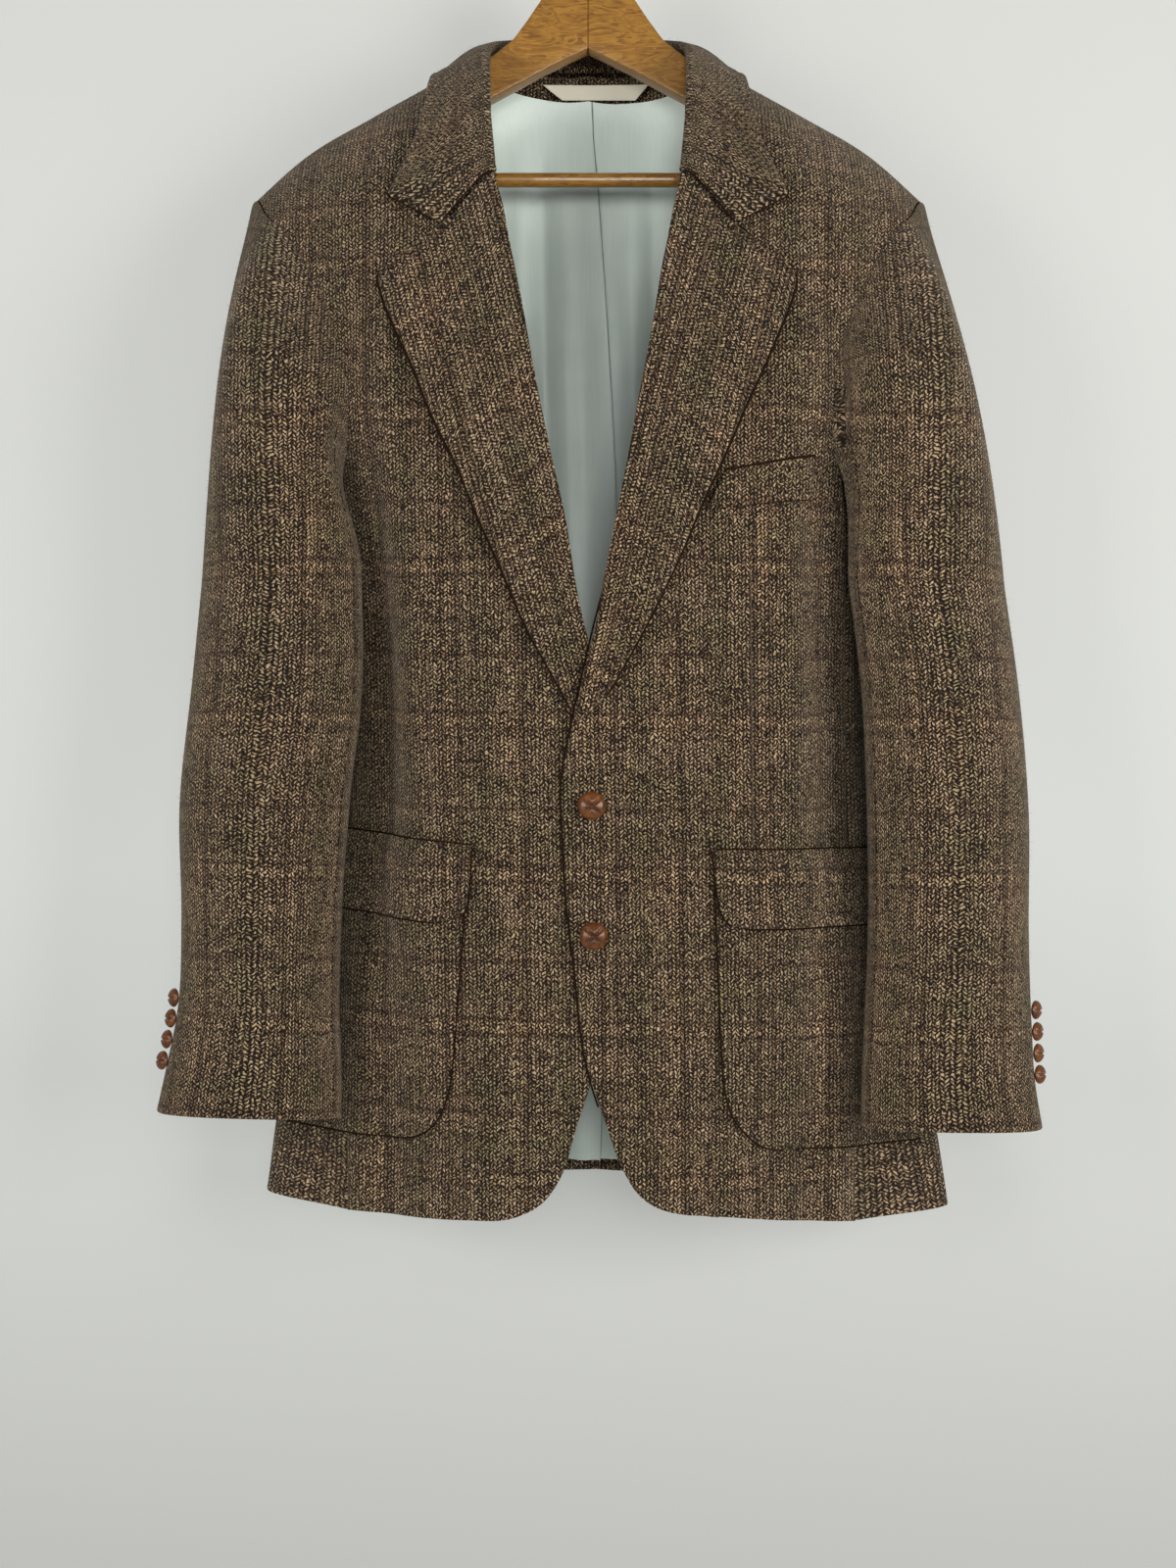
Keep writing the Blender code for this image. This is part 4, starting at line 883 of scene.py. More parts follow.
for side, hand in HANDS.items():
    place = lambda a, b: (within(a, SEAM, 0.10), within(b, width=0.50))

    def side_plan(a, b):
        a, b = place(a, b)
        z = side_point(side, a, b)[:, 2]
        start = girth_at(side, np.full(len(z), FRONT_SEAM_X[side]), z)
        return np.stack([side * (start + SIDE_WIDTH * a), z], axis=1)

    walled("side_" + hand, lambda a, b: side_point(side, *place(a, b)), 36, 110, (0.10, 0.50),
           TWEED, flip=side < 0, plan=side_plan, nap=1500)
    lay = lambda a, b: (within(a), within(closer_above(b, BACK_CLOSER), width=1.0))
    back = lambda a, b: backs[side].point(*lay(a, b))
    walled("back_" + hand, back, 60, 170, (0.20, 0.84), TWEED, flip=side > 0,
           plan=panel_plan(backs[side], lay), nap=5000)
    seam("back_side_seam_" + hand, back, 1.001, (0, 0.60), 1.4, 0.3, GAP, -0.3, flip=side > 0)
    if side > 0:
        seam("back_middle_seam_" + hand, back, -0.001, (0, 0.99), 1.4, 0.3, GAP, -0.3, flip=True)

# ---- Sleeves ----------------------------------------------------------------------------
# Two-piece sleeves, top and under, set into the armholes and hanging curved forward to
# the cuffs.  Each row of the table is a section of the sleeve:
# inner, outer  the edges nearest to and farthest from the body     y      its middle
# depth  front to back     lean  how much farther back the outer edge is than the middle
# taper  how much thinner the inner edge is, in thousandths
SLEEVE_COLUMNS = "z inner outer y depth lean taper"
SLEEVE = {
    1: table(
        SLEEVE_COLUMNS,
        (-505, 173, 290, -31, 88, 34, 600),
        (-575, 180, 297, -38, 80, 30, 550),
        (-660, 183, 300, -46, 68, 22, 450),
        (-740, 183, 296, -52, 58, 13, 300),
        (-800, 180, 295, -57, 50, 7,  180),
        (-840, 178, 296, -60, 44, 4,  100),
        (-869, 177, 300, -62, 42, 3,  60),
    ),
    -1: table(
        SLEEVE_COLUMNS,
        (-505, 153, 272, -31, 88, 34, 600),
        (-575, 153, 278, -38, 80, 30, 550),
        (-660, 163, 285, -46, 68, 22, 450),
        (-740, 170, 282, -52, 58, 13, 300),
        (-800, 172, 283, -57, 50, 7,  180),
        (-840, 171, 290, -60, 44, 4,  100),
        (-869, 171, 296, -62, 42, 3,  60),
    ),
}
SLEEVE_CREASES = {
    1: (
        (236, -470, 196, -560, 13, -2.2), (262, -520, 214, -590, 14, 2.2),
        (284, -640, 226, -700, 13, -2.4), (204, -640, 250, -668, 12, 1.8),
        (286, -700, 216, -752, 12, 1.8), (210, -790, 262, -806, 12, -1.4),
        (226, -340, 214, -440, 14, 1.8), (246, -330, 244, -430, 12, -1.6),
    ),
    -1: (
        (-222, -470, -186, -552, 13, -2.2), (-248, -510, -198, -596, 14, 2.2),
        (-268, -630, -204, -688, 13, -2.4), (-186, -640, -236, -672, 12, 1.8),
        (-272, -706, -204, -748, 12, 1.8), (-196, -784, -250, -802, 12, -1.4),
        (-214, -340, -196, -436, 14, 1.8), (-236, -330, -232, -430, 12, -1.6),
    ),
}
SLEEVE_BACK_CREASES = {
    1: (
        (280, -540, 222, -600, 13, -2.4), (210, -600, 268, -640, 14, 2.0),
        (284, -670, 220, -720, 12, -2.0), (226, -360, 250, -470, 14, 1.8),
    ),
    -1: (
        (-264, -545, -200, -596, 13, -2.4), (-186, -604, -250, -648, 14, 2.0),
        (-272, -668, -206, -716, 12, -2.0), (-208, -360, -236, -470, 14, 1.8),
    ),
}
ROUNDNESS = 2.4
BODY_GAP = 7.0 * MM        # least distance between sleeve and body
POCKET_STACK = 3.5 * MM    # and more of it where pocket and flap lie between them
HEAD_SHARE = 0.34          # share of a sleeve's rows that lie above its first section
FRONT_SHARE, LOW_SHARE = 0.52, 0.16    # of the armhole: up the front, and under the arm
HEAD_GAP = -0.8 * MM       # the sleeve head is tucked under the armhole's edge
HEAD_LIFT = -1.0 * MM      # and is level with it there, but stands off under the arm
UNDERARM_LIFT = 0.5 * MM
UNDERARM_ROOM = 1.0 * MM
FREE_BELOW, MOST_PUSH = -425 * MM, 60 * MM     # the sleeve hangs free of the body below this
FORE_SEAM, HIND_SEAM = 0.44, -0.04     # where the two sleeve seams lie round the arm
SLEEVE_GIRTH, ARMHOLE_ROUND = 360 * MM, 340 * MM   # in the flat cloth


def armhole(side, turn):
    """The armhole seam at each turn: 0 at the shoulder, then down the front and up the back."""
    panel, back = foreparts[side], backs[side]
    front_low = np.interp(-ARMHOLE_FRONT_Z[side], -panel.outer.z[::-1], panel.outer.at[::-1])
    back_low = np.interp(-ARMHOLE_BACK_Z, -back.outer.z[::-1], back.outer.at[::-1])
    points = np.zeros((len(turn), 3))
    beyond, above = 1 + HEAD_GAP / 0.16, 1 + HEAD_GAP / 0.5
    front = turn < FRONT_SHARE
    rear = turn >= FRONT_SHARE + LOW_SHARE
    low = ~front & ~rear
    down = np.abs(turn[front] / FRONT_SHARE) ** 1.2
    up = 1 - np.abs((1 - turn[rear]) / (1 - FRONT_SHARE - LOW_SHARE)) ** 1.2
    points[front] = panel.point(np.full(front.sum(), beyond), 1 - (1 - front_low) * down, HEAD_LIFT)
    points[low] = side_point(side, (turn[low] - FRONT_SHARE) / LOW_SHARE, np.full(low.sum(), above),
                             UNDERARM_LIFT)
    points[rear] = back.point(np.full(rear.sum(), beyond), back_low + (1 - back_low) * up,
                              HEAD_LIFT)
    return points


def sleeve_at(side, z, columns):
    rows = SLEEVE[side]
    return [smooth(rows["z"], rows[name], z) for name in columns.split()]


def bezier(start, leave, arrive, end, s):
    return (start * (1 - s) ** 3 + 3 * leave * s * (1 - s) ** 2 + 3 * arrive * s * s * (1 - s)
            + end * s ** 3)


def sleeve_ring(side, turn, z):
    """The inside of the sleeve at each turn and height."""
    inner, outer, middle, depth, lean, taper = sleeve_at(side, z, "inner outer y depth lean taper")
    angle = 2 * math.pi * turn
    cos, sin = np.cos(angle), np.sin(angle)
    reach = np.sign(cos) * np.abs(cos) ** (2 / ROUNDNESS)
    bulge = np.sign(sin) * np.abs(sin) ** (2 / ROUNDNESS)
    half_width = (outer - inner) / 2 - WALL
    half_depth = depth / 2 - WALL
    x = (inner + outer) / 2 + half_width * reach
    y = middle + lean * reach - half_depth * (1 + taper * reach) * bulge
    return np.stack([x * side, y, z], axis=1)


def clear_of_body(side, points):
    """Moves points that press into the body out to a small distance from it."""
    z = points[:, 2]
    steps = np.tile(np.linspace(0.5, 5.5, 120), len(z))
    x, y = section(side, steps, np.repeat(z, 120))
    outline = np.stack([x.reshape(-1, 120) * side, y.reshape(-1, 120)], axis=2)
    slope = np.gradient(outline, axis=1)
    out = np.stack([slope[:, :, 1], -slope[:, :, 0]], axis=2) * side
    out /= np.linalg.norm(out, axis=2)[:, :, None]
    apart = points[:, None, :2] - outline
    near = np.argmin(np.linalg.norm(apart, axis=2), axis=1)
    n = np.arange(len(z))
    gap = np.sum(apart[n, near] * out[n, near], axis=1)
    wanted = (BODY_GAP * ease(z, FREE_BELOW, -0.440) + POCKET_STACK * ease(z, -0.600, -0.660)
              + UNDERARM_ROOM * ease(z, -0.560, -0.500))
    push = np.where(z < FREE_BELOW, np.clip(wanted - gap, 0, MOST_PUSH), 0)
    points = points.copy()
    points[:, :2] += out[n, near] * push[:, None]
    return points


def sleeve_point(side, turn, t):
    """t from 0 at the armhole to 1 at the cuff; the head is drawn out and down from the armhole."""
    rows = SLEEVE[side]
    turn = turn % 1.0
    top, cuff = rows["z"][0], rows["z"][-1]
    arm = np.clip((t - HEAD_SHARE) / (1 - HEAD_SHARE), 0, 1)
    tube = sleeve_ring(side, turn, top + (cuff - top) * arm)
    root = armhole(side, turn)
    first = sleeve_ring(side, turn, np.full(len(turn), top))
    sin, cos = np.sin(2 * math.pi * turn), np.cos(2 * math.pi * turn)
    spread, above, under = np.abs(sin), np.maximum(cos, 0), np.maximum(-cos, 0)
    leave = np.stack([side * (0.30 + 0.55 * spread - above * (0.10 + 0.42 * spread)),
                      -0.45 * sin - 0.5 * under, -0.94 + 0.45 * spread], axis=1)
    span = np.linalg.norm(first - root, axis=1)[:, None]
    s = np.clip(t / HEAD_SHARE, 0, 1)[:, None]
    hang = first + np.stack([-0.034 * side * above, 0 * above, 0 * above + 0.42], axis=1) * span
    head = bezier(root, root + 0.36 * span * leave, hang, first, s)
    points = clear_of_body(side, np.where(s < 1, head, tube))
    folds = (crease_lift(points, SLEEVE_CREASES[side]) * ease(sin, 0, 0.5)
             + crease_lift(points, SLEEVE_BACK_CREASES[side]) * ease(-sin, 0, 0.5))
    points[:, 1] -= folds * np.sign(sin)
    return points


def sleeve_plan(side, turn, t):
    """Flat pattern: the grain hangs straight down the sleeve, also through its head."""
    point = sleeve_point(side, turn, t)
    top = SLEEVE[side]["z"][0]
    inner, outer = sleeve_at(side, np.minimum(point[:, 2], top), "inner outer")
    beyond = (point[:, 0] * side - (inner + outer) / 2) / ((outer - inner) / 2)
    reach = np.clip(beyond, -1, 1)
    past = (beyond - reach) * (outer - inner) / 2
    level = np.arccos(np.sign(reach) * np.abs(reach) ** (ROUNDNESS / 2)) / (2 * math.pi)
    half = (turn + 0.5) % 1 - 0.5
    straight = (ease(np.abs(np.sin(2 * math.pi * turn)), 0.15, 0.6)
                * ease(t, HEAD_SHARE, HEAD_SHARE * 0.9))
    round_arm = (half + (np.where(half < 0, -level, level) - half) * straight) * SLEEVE_GIRTH
    ring = sleeve_ring(side, turn, np.full(len(turn), top))
    forward = np.where(t < HEAD_SHARE, 0.8 * np.abs(point[:, 1] - ring[:, 1]), 0)
    return np.stack([round_arm - np.where(half < 0, -past, past) * straight,
                     point[:, 2] + forward], axis=1)


for side, hand in HANDS.items():
    gap = SEAM / ARMHOLE_ROUND
    for part, start, end, width in (("top", HIND_SEAM + gap, FORE_SEAM - gap, 0.19),
                                    ("under", FORE_SEAM + gap, 1 + HIND_SEAM - gap, 0.18)):
        walled(f"sleeve_{hand}_{part}",
               lambda a, b: sleeve_point(side, start + (end - start) * a, 1 - b),
               60, 170, (width, 0.66), TWEED, flip=side > 0, outward=True, nap=4200,
               plan=lambda a, b: sleeve_plan(side, start + (end - start) * a, 1 - b))
    seam("sleeve_seam_" + hand, lambda a, b: sleeve_point(side, a - 0.5 + HIND_SEAM, 1 - b), 0.5,
         (0.0, 0.95), 1.1, 0.3, GAP, -0.3, count=200, wall=WALL, flip=side > 0)
    sunk = armhole(side, np.linspace(0.02, 0.50, 150)) - np.array([0, 1.6 * MM, 0])
    front_ribbon("armhole_seam_" + hand, sunk, 1.3, 0.5, GAP)

# ---- Collar -----------------------------------------------------------------------------
# Tweed stand and fall in one, from notch to notch round the neck.  Stations of its right
# half: the foot inside the neck, the roll at the fold, and the edge of the fall.
COLLAR_WALL = 2.6 * MM
COLLAR = table(
    "foot_x foot_y foot_z roll_x roll_y roll_z edge_x edge_y edge_z",
    (70,   -60.5, -236,  64,   -64.5, -232,   98,   -67,  -270),
    (71.5, -57,   -214,  66,   -60.5, -212,   134,  -59,  -250),
    (73.5, -50,   -194,  68,   -54.5, -192,   126,  -56,  -232),
    (75.3, -41,   -174,  68.8, -46.5, -171,   117,  -50,  -211),
    (76.3, -29,   -156,  70,   -33,   -150,   111,  -38,  -188),
    (78.3, -13,   -138,  71,   -17,   -134,   109,  -20,  -160),
    (80.5, 0,     -130.5,  70.5, 0,     -122,   107,  2,    -143.5),
    (73.5, 11,    -126.5,  65,   13,    -114.5, 102,  18,   -144),
    (64.5, 20,    -125.5,  57,   24.5,  -109,   91,   31,   -147),
    (52,   28.5,  -125,  46,   32,    -105.5, 74,   39.5, -150),
    (37,   33,    -125.5,  32,   37,    -103,   51,   45,   -150),
    (18.5, 35.5,  -126,  16,   39.3,  -101.7, 26,   47.2, -150),
    (0,    36.5,  -125.5,  0,    40,    -101.3, 0,    47.8, -150),
)
STAND_SHARE = 0.3          # of the collar's rows across, the rest are the fall's
FALL_LIFT = 4.0 * MM       # how far the open edge of the fall stands off


def front_y(side, x, z):
    """y of the forepart's outer face at x and z."""
    return cloth_point(side, girth_at(side, x, z), fall_of(x, z))[:, 1]


def collar_point(a, b):
    """a from the right notch (0) to the left one (1); b from the foot (0) to the edge (1)."""
    side = np.where(a < 0.5, -1, 1)
    station = (1 - np.abs(2 * a - 1)) * (len(COLLAR["foot_x"]) - 1)
    rows = np.arange(len(COLLAR["foot_x"]))
    foot, roll, edge = (np.stack([np.interp(station, rows, COLLAR[f"{line}_{axis}"])
                                  for axis in "xyz"], axis=1) for line in ("foot", "roll", "edge"))
    over = edge - roll
    over[:, 2] = 0
    over /= np.linalg.norm(over, axis=1)[:, None]
    sideways = ease(station, 3, 6)[:, None]
    turn = over * sideways + np.array([0, -1, 0]) * (1 - sideways)
    s = np.clip(b / STAND_SHARE, 0, 1)[:, None]
    t = np.clip((b - STAND_SHARE) / (1 - STAND_SHARE), 0, 1)[:, None]
    before, after = roll - turn * 3 * MM, roll + turn * 5 * MM + over * 8 * MM
    stand = bezier(foot, foot * 0.5 + roll * 0.5, before, roll, s)
    above_edge = edge + 0.35 * (roll - edge) + np.array([0, 0, 2 * MM])
    fall = bezier(roll, after, above_edge, edge, t)
    points = np.where(b[:, None] <= STAND_SHARE, stand, fall)
    low = shoulder_z(points[:, 0]) - points[:, 2] > 2 * MM
    lies = (b > STAND_SHARE) & low & (points[:, 1] < 0)
    for hand in HANDS:
        on = lies & (side == hand)
        shoulder = ease(station[on], 2, 4) * ease(station[on], 8, 6)
        open_edge = FALL_LIFT * ease(t[on, 0], 0.4, 1)
        over_panel = (front_y(hand, points[on, 0], points[on, 2]) - LAYER
                      - (0.8 + 2.8 * shoulder) * MM - open_edge)
        points[on, 1] = np.minimum(points[on, 1], over_panel)
    points[:, 0] *= side
    return points


walled("collar", collar_point, 150, 40, (0.60, 0.085), TWEED, wall=COLLAR_WALL, outward=True,
       rim=1.8 * MM, beaded=0.8, nap=2200)
# Painted shadow: dark cords along the fall's edge and the collar's ends, in the gap where they
# stand off the cloth beneath.
for name, a, b, count in (("edge", (0.004, 0.996), 1.0, 500), ("right_end", 0.0, (0.35, 1.0), 60),
                          ("left_end", 1.0, (0.35, 1.0), 60)):
    seam("collar_shadow_" + name, collar_point, a, b, 1.7, 0.6, GAP, -1.9, 3.0, count, COLLAR_WALL)
seam("collar_stitches", collar_point, (0.015, 0.985), 0.95, lift=0.2, count=700, wall=COLLAR_WALL,
     **STITCHES)

# ---- Lapels -----------------------------------------------------------------------------
# The faced tops of the foreparts, turned back along a soft roll from the neck down to the
# first button.  Each row runs from the roll line to the outer edge, from the bottom up.
LAPEL_WALL = 2.8 * MM
LAPEL = {
    1: (
        (-9, -588, -10, -603), (2, -545, 8, -586), (10, -503, 24, -560), (19, -460, 42, -526),
        (27, -420, 61, -487), (33, -388, 73, -459), (39, -358, 87, -429), (44, -330, 102, -395),
        (48, -305, 114, -370), (53, -280, 126, -342), (57, -258, 134, -320),
        (60, -245, 136, -307), (62, -235, 98, -274),
    ),
    -1: (
        (-4, -572, 10, -600), (8, -520, 28, -567), (16, -468, 43, -538), (25, -425, 58, -501),
        (32, -390, 74, -464), (38, -357, 87, -431), (43, -328, 101, -403), (48, -303, 115, -368),
        (53, -278, 126, -343), (57, -256, 135, -318), (60, -245, 137, -306),
        (62, -235, 98, -274),
    ),
}
LAPEL_GRAIN = 0.22         # radians the grain leans, with the roll line
ROLL_LIFT = 2.0 * MM       # the soft roll stands off the forepart
EDGE_LIFT = 5.0 * MM       # and so does the open edge


for side, hand in HANDS.items():
    panel = Panel(side, LAPEL[side])

    def lapel_point(a, b):
        roll = ROLL_LIFT * (1 - ease(a, 0, 0.4)) * ease(b, 0.05, 0.35)
        open_edge = EDGE_LIFT * ease(a, 0.35, 1) * ease(b, 0.02, 0.25)
        return panel.point(a, within(b, HALF_SEAM, 0.4), LAYER + 0.3 * MM + roll + open_edge)

    def lapel_plan(a, b):
        girth, fall = panel.place(a, b)
        turn = -LAPEL_GRAIN * side
        x, y = side * girth, -fall
        return np.stack([x * math.cos(turn) + y * math.sin(turn),
                         y * math.cos(turn) - x * math.sin(turn)], axis=1)

    walled("lapel_" + hand, lapel_point, 40, 130, (0.09, 0.38), TWEED, wall=LAPEL_WALL,
           flip=side < 0, outward=True, rim=1.9 * MM, beaded=1.0, plan=lapel_plan, nap=1600)
    turned = {"wall": LAPEL_WALL, "flip": side < 0}
    # Painted shadow: a dark cord just past the lapel's open edge, in the gap where that edge stands
    # off the forepart.
    seam("lapel_edge_shadow_" + hand, lapel_point, 1.012, (0.10 if side > 0 else 0.03, 0.985), 1.7,
         0.6, GAP, -1.8, 3.0, **turned)
    # Painted shadow: a wide dark cord on the forepart just under the lapel's top edge in the notch,
    # where the lapel shades it.
    x, z = np.linspace(136, 99, 40) * MM, np.linspace(-303.5, -271, 40) * MM
    under_notch = at_height(side, girth_at(side, x, z), z, FRONT, 1.5 * MM)
    front_ribbon("lapel_top_shadow_" + hand, under_notch, 3.0, 0.8, GAP)
    if side > 0:
        seam("lapel_buttonhole", lapel_point, (0.66, 0.84), 0.885, 1.5, 0.5, THREAD, 0.1, None, 40,
             **turned)
    seam("lapel_stitches_" + hand, lapel_point, 0.945, (0.06, 0.985), lift=0.25, count=400,
         **turned, **STITCHES)

# ---- Back lining and label --------------------------------------------------------------
# Pale satin in two halves, its centre seam wandering to the wearer's left, hung inside the
# back, with a bare woven label sewn under the collar.  up: from the hem (0) to the neck (1)
LINING, tree = new_material("pale lining")
satin_at = object_at(tree)
slub = noise(tree, stretched(tree, satin_at, (900, 900, 14)))
worn = noise(tree, satin_at, 22.0, 3.0)
satin = ramp(tree, maths(tree, "MULTIPLY_ADD", slub, 0.35, maths(tree, "MULTIPLY", worn, 0.65)),
             (0.30, (0.48, 0.555, 0.507)), (0.68, (0.56, 0.640, 0.588)))
dress(tree, Base_Color=satin, Normal=relief(tree, slub, 0.25, 0.1 * MM), Roughness=0.42,
      Sheen_Weight=0.2)
LABEL, tree = new_material("bare label")
dress(tree, Base_Color=(0.50, 0.47, 0.37, 1))
LINING_GAP = 2.5 * MM
LINING_LIFT = -(WALL + LINING_GAP)
LINING_SPAN = (0.009, 0.955)      # of the back's rows
LINING_WIDTH = 0.90               # of the back's width
LINING_SEAM = {"up": np.array([0, 0.22, 0.36, 0.50, 0.64, 0.80, 1.0]),
               "x": np.array([3, 10, 18, 20, 15, 7, 3]) * MM}
LINING_FOLDS = (                  # x at the neck, x it wanders by the hem, half width, height, mm
    (-52, 12, 7, 3.4), (-34, 8, 5, -1.8), (-20, 10, 9, 2.6), (-78, 6, 8, -1.6), (-104, 4, 9, 2.6),
    (30, 8, 7, 2.2), (44, 14, 5, -1.6), (60, 6, 8, 2.8), (86, 4, 9, -1.4), (112, 2, 9, 2.4),
    (-134, 0, 8, 1.8), (138, 0, 8, 1.6),
)
FULLNESS = 1.5                    # how much deeper the folds hang than they are pressed
PLEAT_DEPTH, PLEAT_HALF = 7.0, 12      # of the ease pleat at the centre back, mm


def lining_point(side, a, b):
    low, high = LINING_SPAN
    rise = closer_above(low + (high - low) * b, BACK_CLOSER)
    girth, fall = backs[side].place(LINING_WIDTH * within(a), rise)
    girth = girth + side * smooth(LINING_SEAM["up"], LINING_SEAM["x"], b) * (1 - a)
    x, hung = side * girth / MM, ease(b, 0.97, 0.62)
    folds = sum(height * np.exp(-((x - place - lean * (1 - b)) / width) ** 2)
                for place, lean, width, height in LINING_FOLDS) * hung * FULLNESS
    pleat = (PLEAT_DEPTH * ease(b, 0.97, 0.66) * np.exp(-(a * 90 / PLEAT_HALF) ** 2)
             if side < 0 else 0)
    return cloth_point(side, girth, fall, BACK, LINING_LIFT - (folds + pleat) * MM)


for side, hand in HANDS.items():
    walled("lining_" + hand, lambda a, b: lining_point(side, a, b), 60, 150, (0.18, 0.79), LINING,
           wall=LINING_WALL, flip=side > 0, rim=0.8 * MM, slot="lining")

LABEL_WALL = 0.8 * MM
LABEL_TOP = (-34 * MM, 46 * MM, -133 * MM)       # x from, x to, z
LABEL_FOOT = (-19 * MM, 35 * MM, -144 * MM)


def label_point(a, b):
    ends = [foot + (top - foot) * b for foot, top in zip(LABEL_FOOT, LABEL_TOP)]
    lift = LINING_LIFT - LINING_WALL - 2 * LAYER
    return at_height(1, ends[0] + (ends[1] - ends[0]) * a, ends[2], BACK, lift)


walled("label", label_point, 30, 10, (0.078, 0.012), LABEL, wall=LABEL_WALL, flip=True,
       rim=0.5 * MM, slot="label")

# ---- Patch pockets, flaps and breast welt -----------------------------------------------
# Tweed patches sewn flat on the foreparts: two rounded hip pockets under deep flaps and a
# slanted breast welt.  Each row runs from the inner edge (x, z) to the outer (girth, z).
PATCH_WALL = 2.0 * MM
PATCH_LIFT = 1.3 * MM      # clear of the facets of the cloth beneath
ON_POCKET = PATCH_WALL + PATCH_LIFT    # a flap lies on its pocket
PATCH_COLUMNS = "x z girth out_z"
POCKET = {
    1: table(
        PATCH_COLUMNS,
        (138, -887, 247, -889),
        (114, -885, 247, -887),
        (97,  -872, 247, -878),
        (88,  -856, 247, -862),
        (84,  -830, 247, -834),
        (82,  -780, 247, -782),
        (80,  -702, 247, -700),
    ),
    -1: table(
        PATCH_COLUMNS,
        (149, -886, 246, -886),
        (125, -884, 246, -884),
        (110, -874, 246, -876),
        (101, -858, 246, -862),
        (96,  -834, 246, -836),
        (91,  -780, 246, -780),
        (84,  -701, 246, -692),
    ),
}
FLAP = {
    1: table(
        PATCH_COLUMNS,
        (100, -737, 245, -735),
        (88,  -734, 245, -732),
        (83,  -725, 245, -725),
        (80,  -705, 245, -706),
        (78,  -685, 245, -684),
    ),
    -1: table(
        PATCH_COLUMNS,
        (104, -736, 244, -726),
        (90,  -733, 244, -723),
        (84,  -725, 244, -715),
        (82,  -705, 244, -694),
        (81,  -684, 244, -671),
    ),
}
WELT = table(
    PATCH_COLUMNS,
    (77, -462, 150, -453),
    (83, -449, 151, -439),
    (90, -436, 152, -424),
)


def patch_place(side, rows, a, b):
    """Girth and height at (a, b) of a patch."""
    up = np.linspace(0, 1, len(rows["z"]))
    start = smooth(up, girth_at(side, rows["x"], rows["z"]), b)
    low = smooth(up, rows["z"], b)
    return (start + (smooth(up, rows["girth"], b) - start) * a,
            low + (smooth(up, rows["out_z"], b) - low) * a)


def patch_point(side, rows, a, b, over=0.0):
    """A patch on the cloth, raised by over more below its sewn top edge."""
    free = 3.5 * MM * ease(b, 0.6, 0) if over else 0
    lift = PATCH_LIFT + over * ease(b, 0.98, 0.80) + free
    return at_height(side, *patch_place(side, rows, a, b), FRONT, lift)


def patch(name, side, rows, grid, size, over=0.0):
    def plan(a, b):
        girth, z = patch_place(side, rows, a, b)
        return np.stack([side * girth, z], axis=1)
    walled(name, lambda a, b: patch_point(side, rows, a, b, over), *grid, size, TWEED,
           wall=PATCH_WALL, flip=side < 0, outward=True, plan=plan)


for side, hand in HANDS.items():
    patch("pocket_" + hand, side, POCKET[side], (60, 60), (0.165, 0.187))
    patch("flap_" + hand, side, FLAP[side], (60, 30), (0.165, 0.055), ON_POCKET)
for side, hand in HANDS.items():
    # Painted shadow: the dark GAP cords along the edges of the pockets and flaps, widest under a
    # flap's free lower edge, lie where the raised patches shade the cloth; the thread cords are
    # stitches.
    for name, rows, a, b, over, width, count in (
            ("pocket_edge_shadow", POCKET, -0.006, (0, 0.99), 0, 1.2, 300),
            ("pocket_foot_shadow", POCKET, (0, 0.98), -0.006, 0, 1.2, 300),
            ("flap_edge_shadow", FLAP, -0.006, (0, 0.99), PATCH_LIFT, 1.2, 200),
            ("flap_low_shadow", FLAP, (0, 0.98), -0.012, PATCH_LIFT, 2.6, 300),
            ("flap_head_shadow", FLAP, (0, 0.98), 1.0, PATCH_LIFT, 1.2, 300),
            ("pocket_side_stitches", POCKET, 0.026, (0.05, 0.99), 0, 0.55, 300),
            ("flap_top_stitches", FLAP, (0.02, 0.98), 0.84, ON_POCKET, 0.55, 300),
            ("flap_foot_stitches", FLAP, (0.05, 0.98), 0.075, ON_POCKET, 0.55, 300),
            ("flap_side_stitches", FLAP, 0.026, (0.12, 0.98), ON_POCKET, 0.55, 200)):
        sewn = name.endswith("stitches")
        seam(f"{name}_{hand}", lambda a, b: patch_point(side, rows[side], a, b, over), a, b, width,
             0.2, THREAD if sewn else GAP, 0.15, 1.9, count, PATCH_WALL, side < 0, sewn)
patch("breast_welt", 1, WELT, (30, 16), (0.07, 0.028))
# Painted shadow: dark cords in the welt's opening along its top and round its other edges, where it
# stands off the forepart.
for name, a, b, width, count, wall in (
        ("top", (0, 1), 1.02, 1.8, 80, PATCH_WALL), ("foot", (0, 1), 0.0, 0.9, 80, 1 * MM),
        ("inner", 0.0, (0, 1), 0.9, 40, 1 * MM), ("outer", 1.0, (0, 1), 0.9, 40, 1 * MM)):
    seam("welt_shadow_" + name, lambda a, b: patch_point(1, WELT, a, b), a, b, width, 0.2, GAP, 0.1,
         2.0, count, wall)

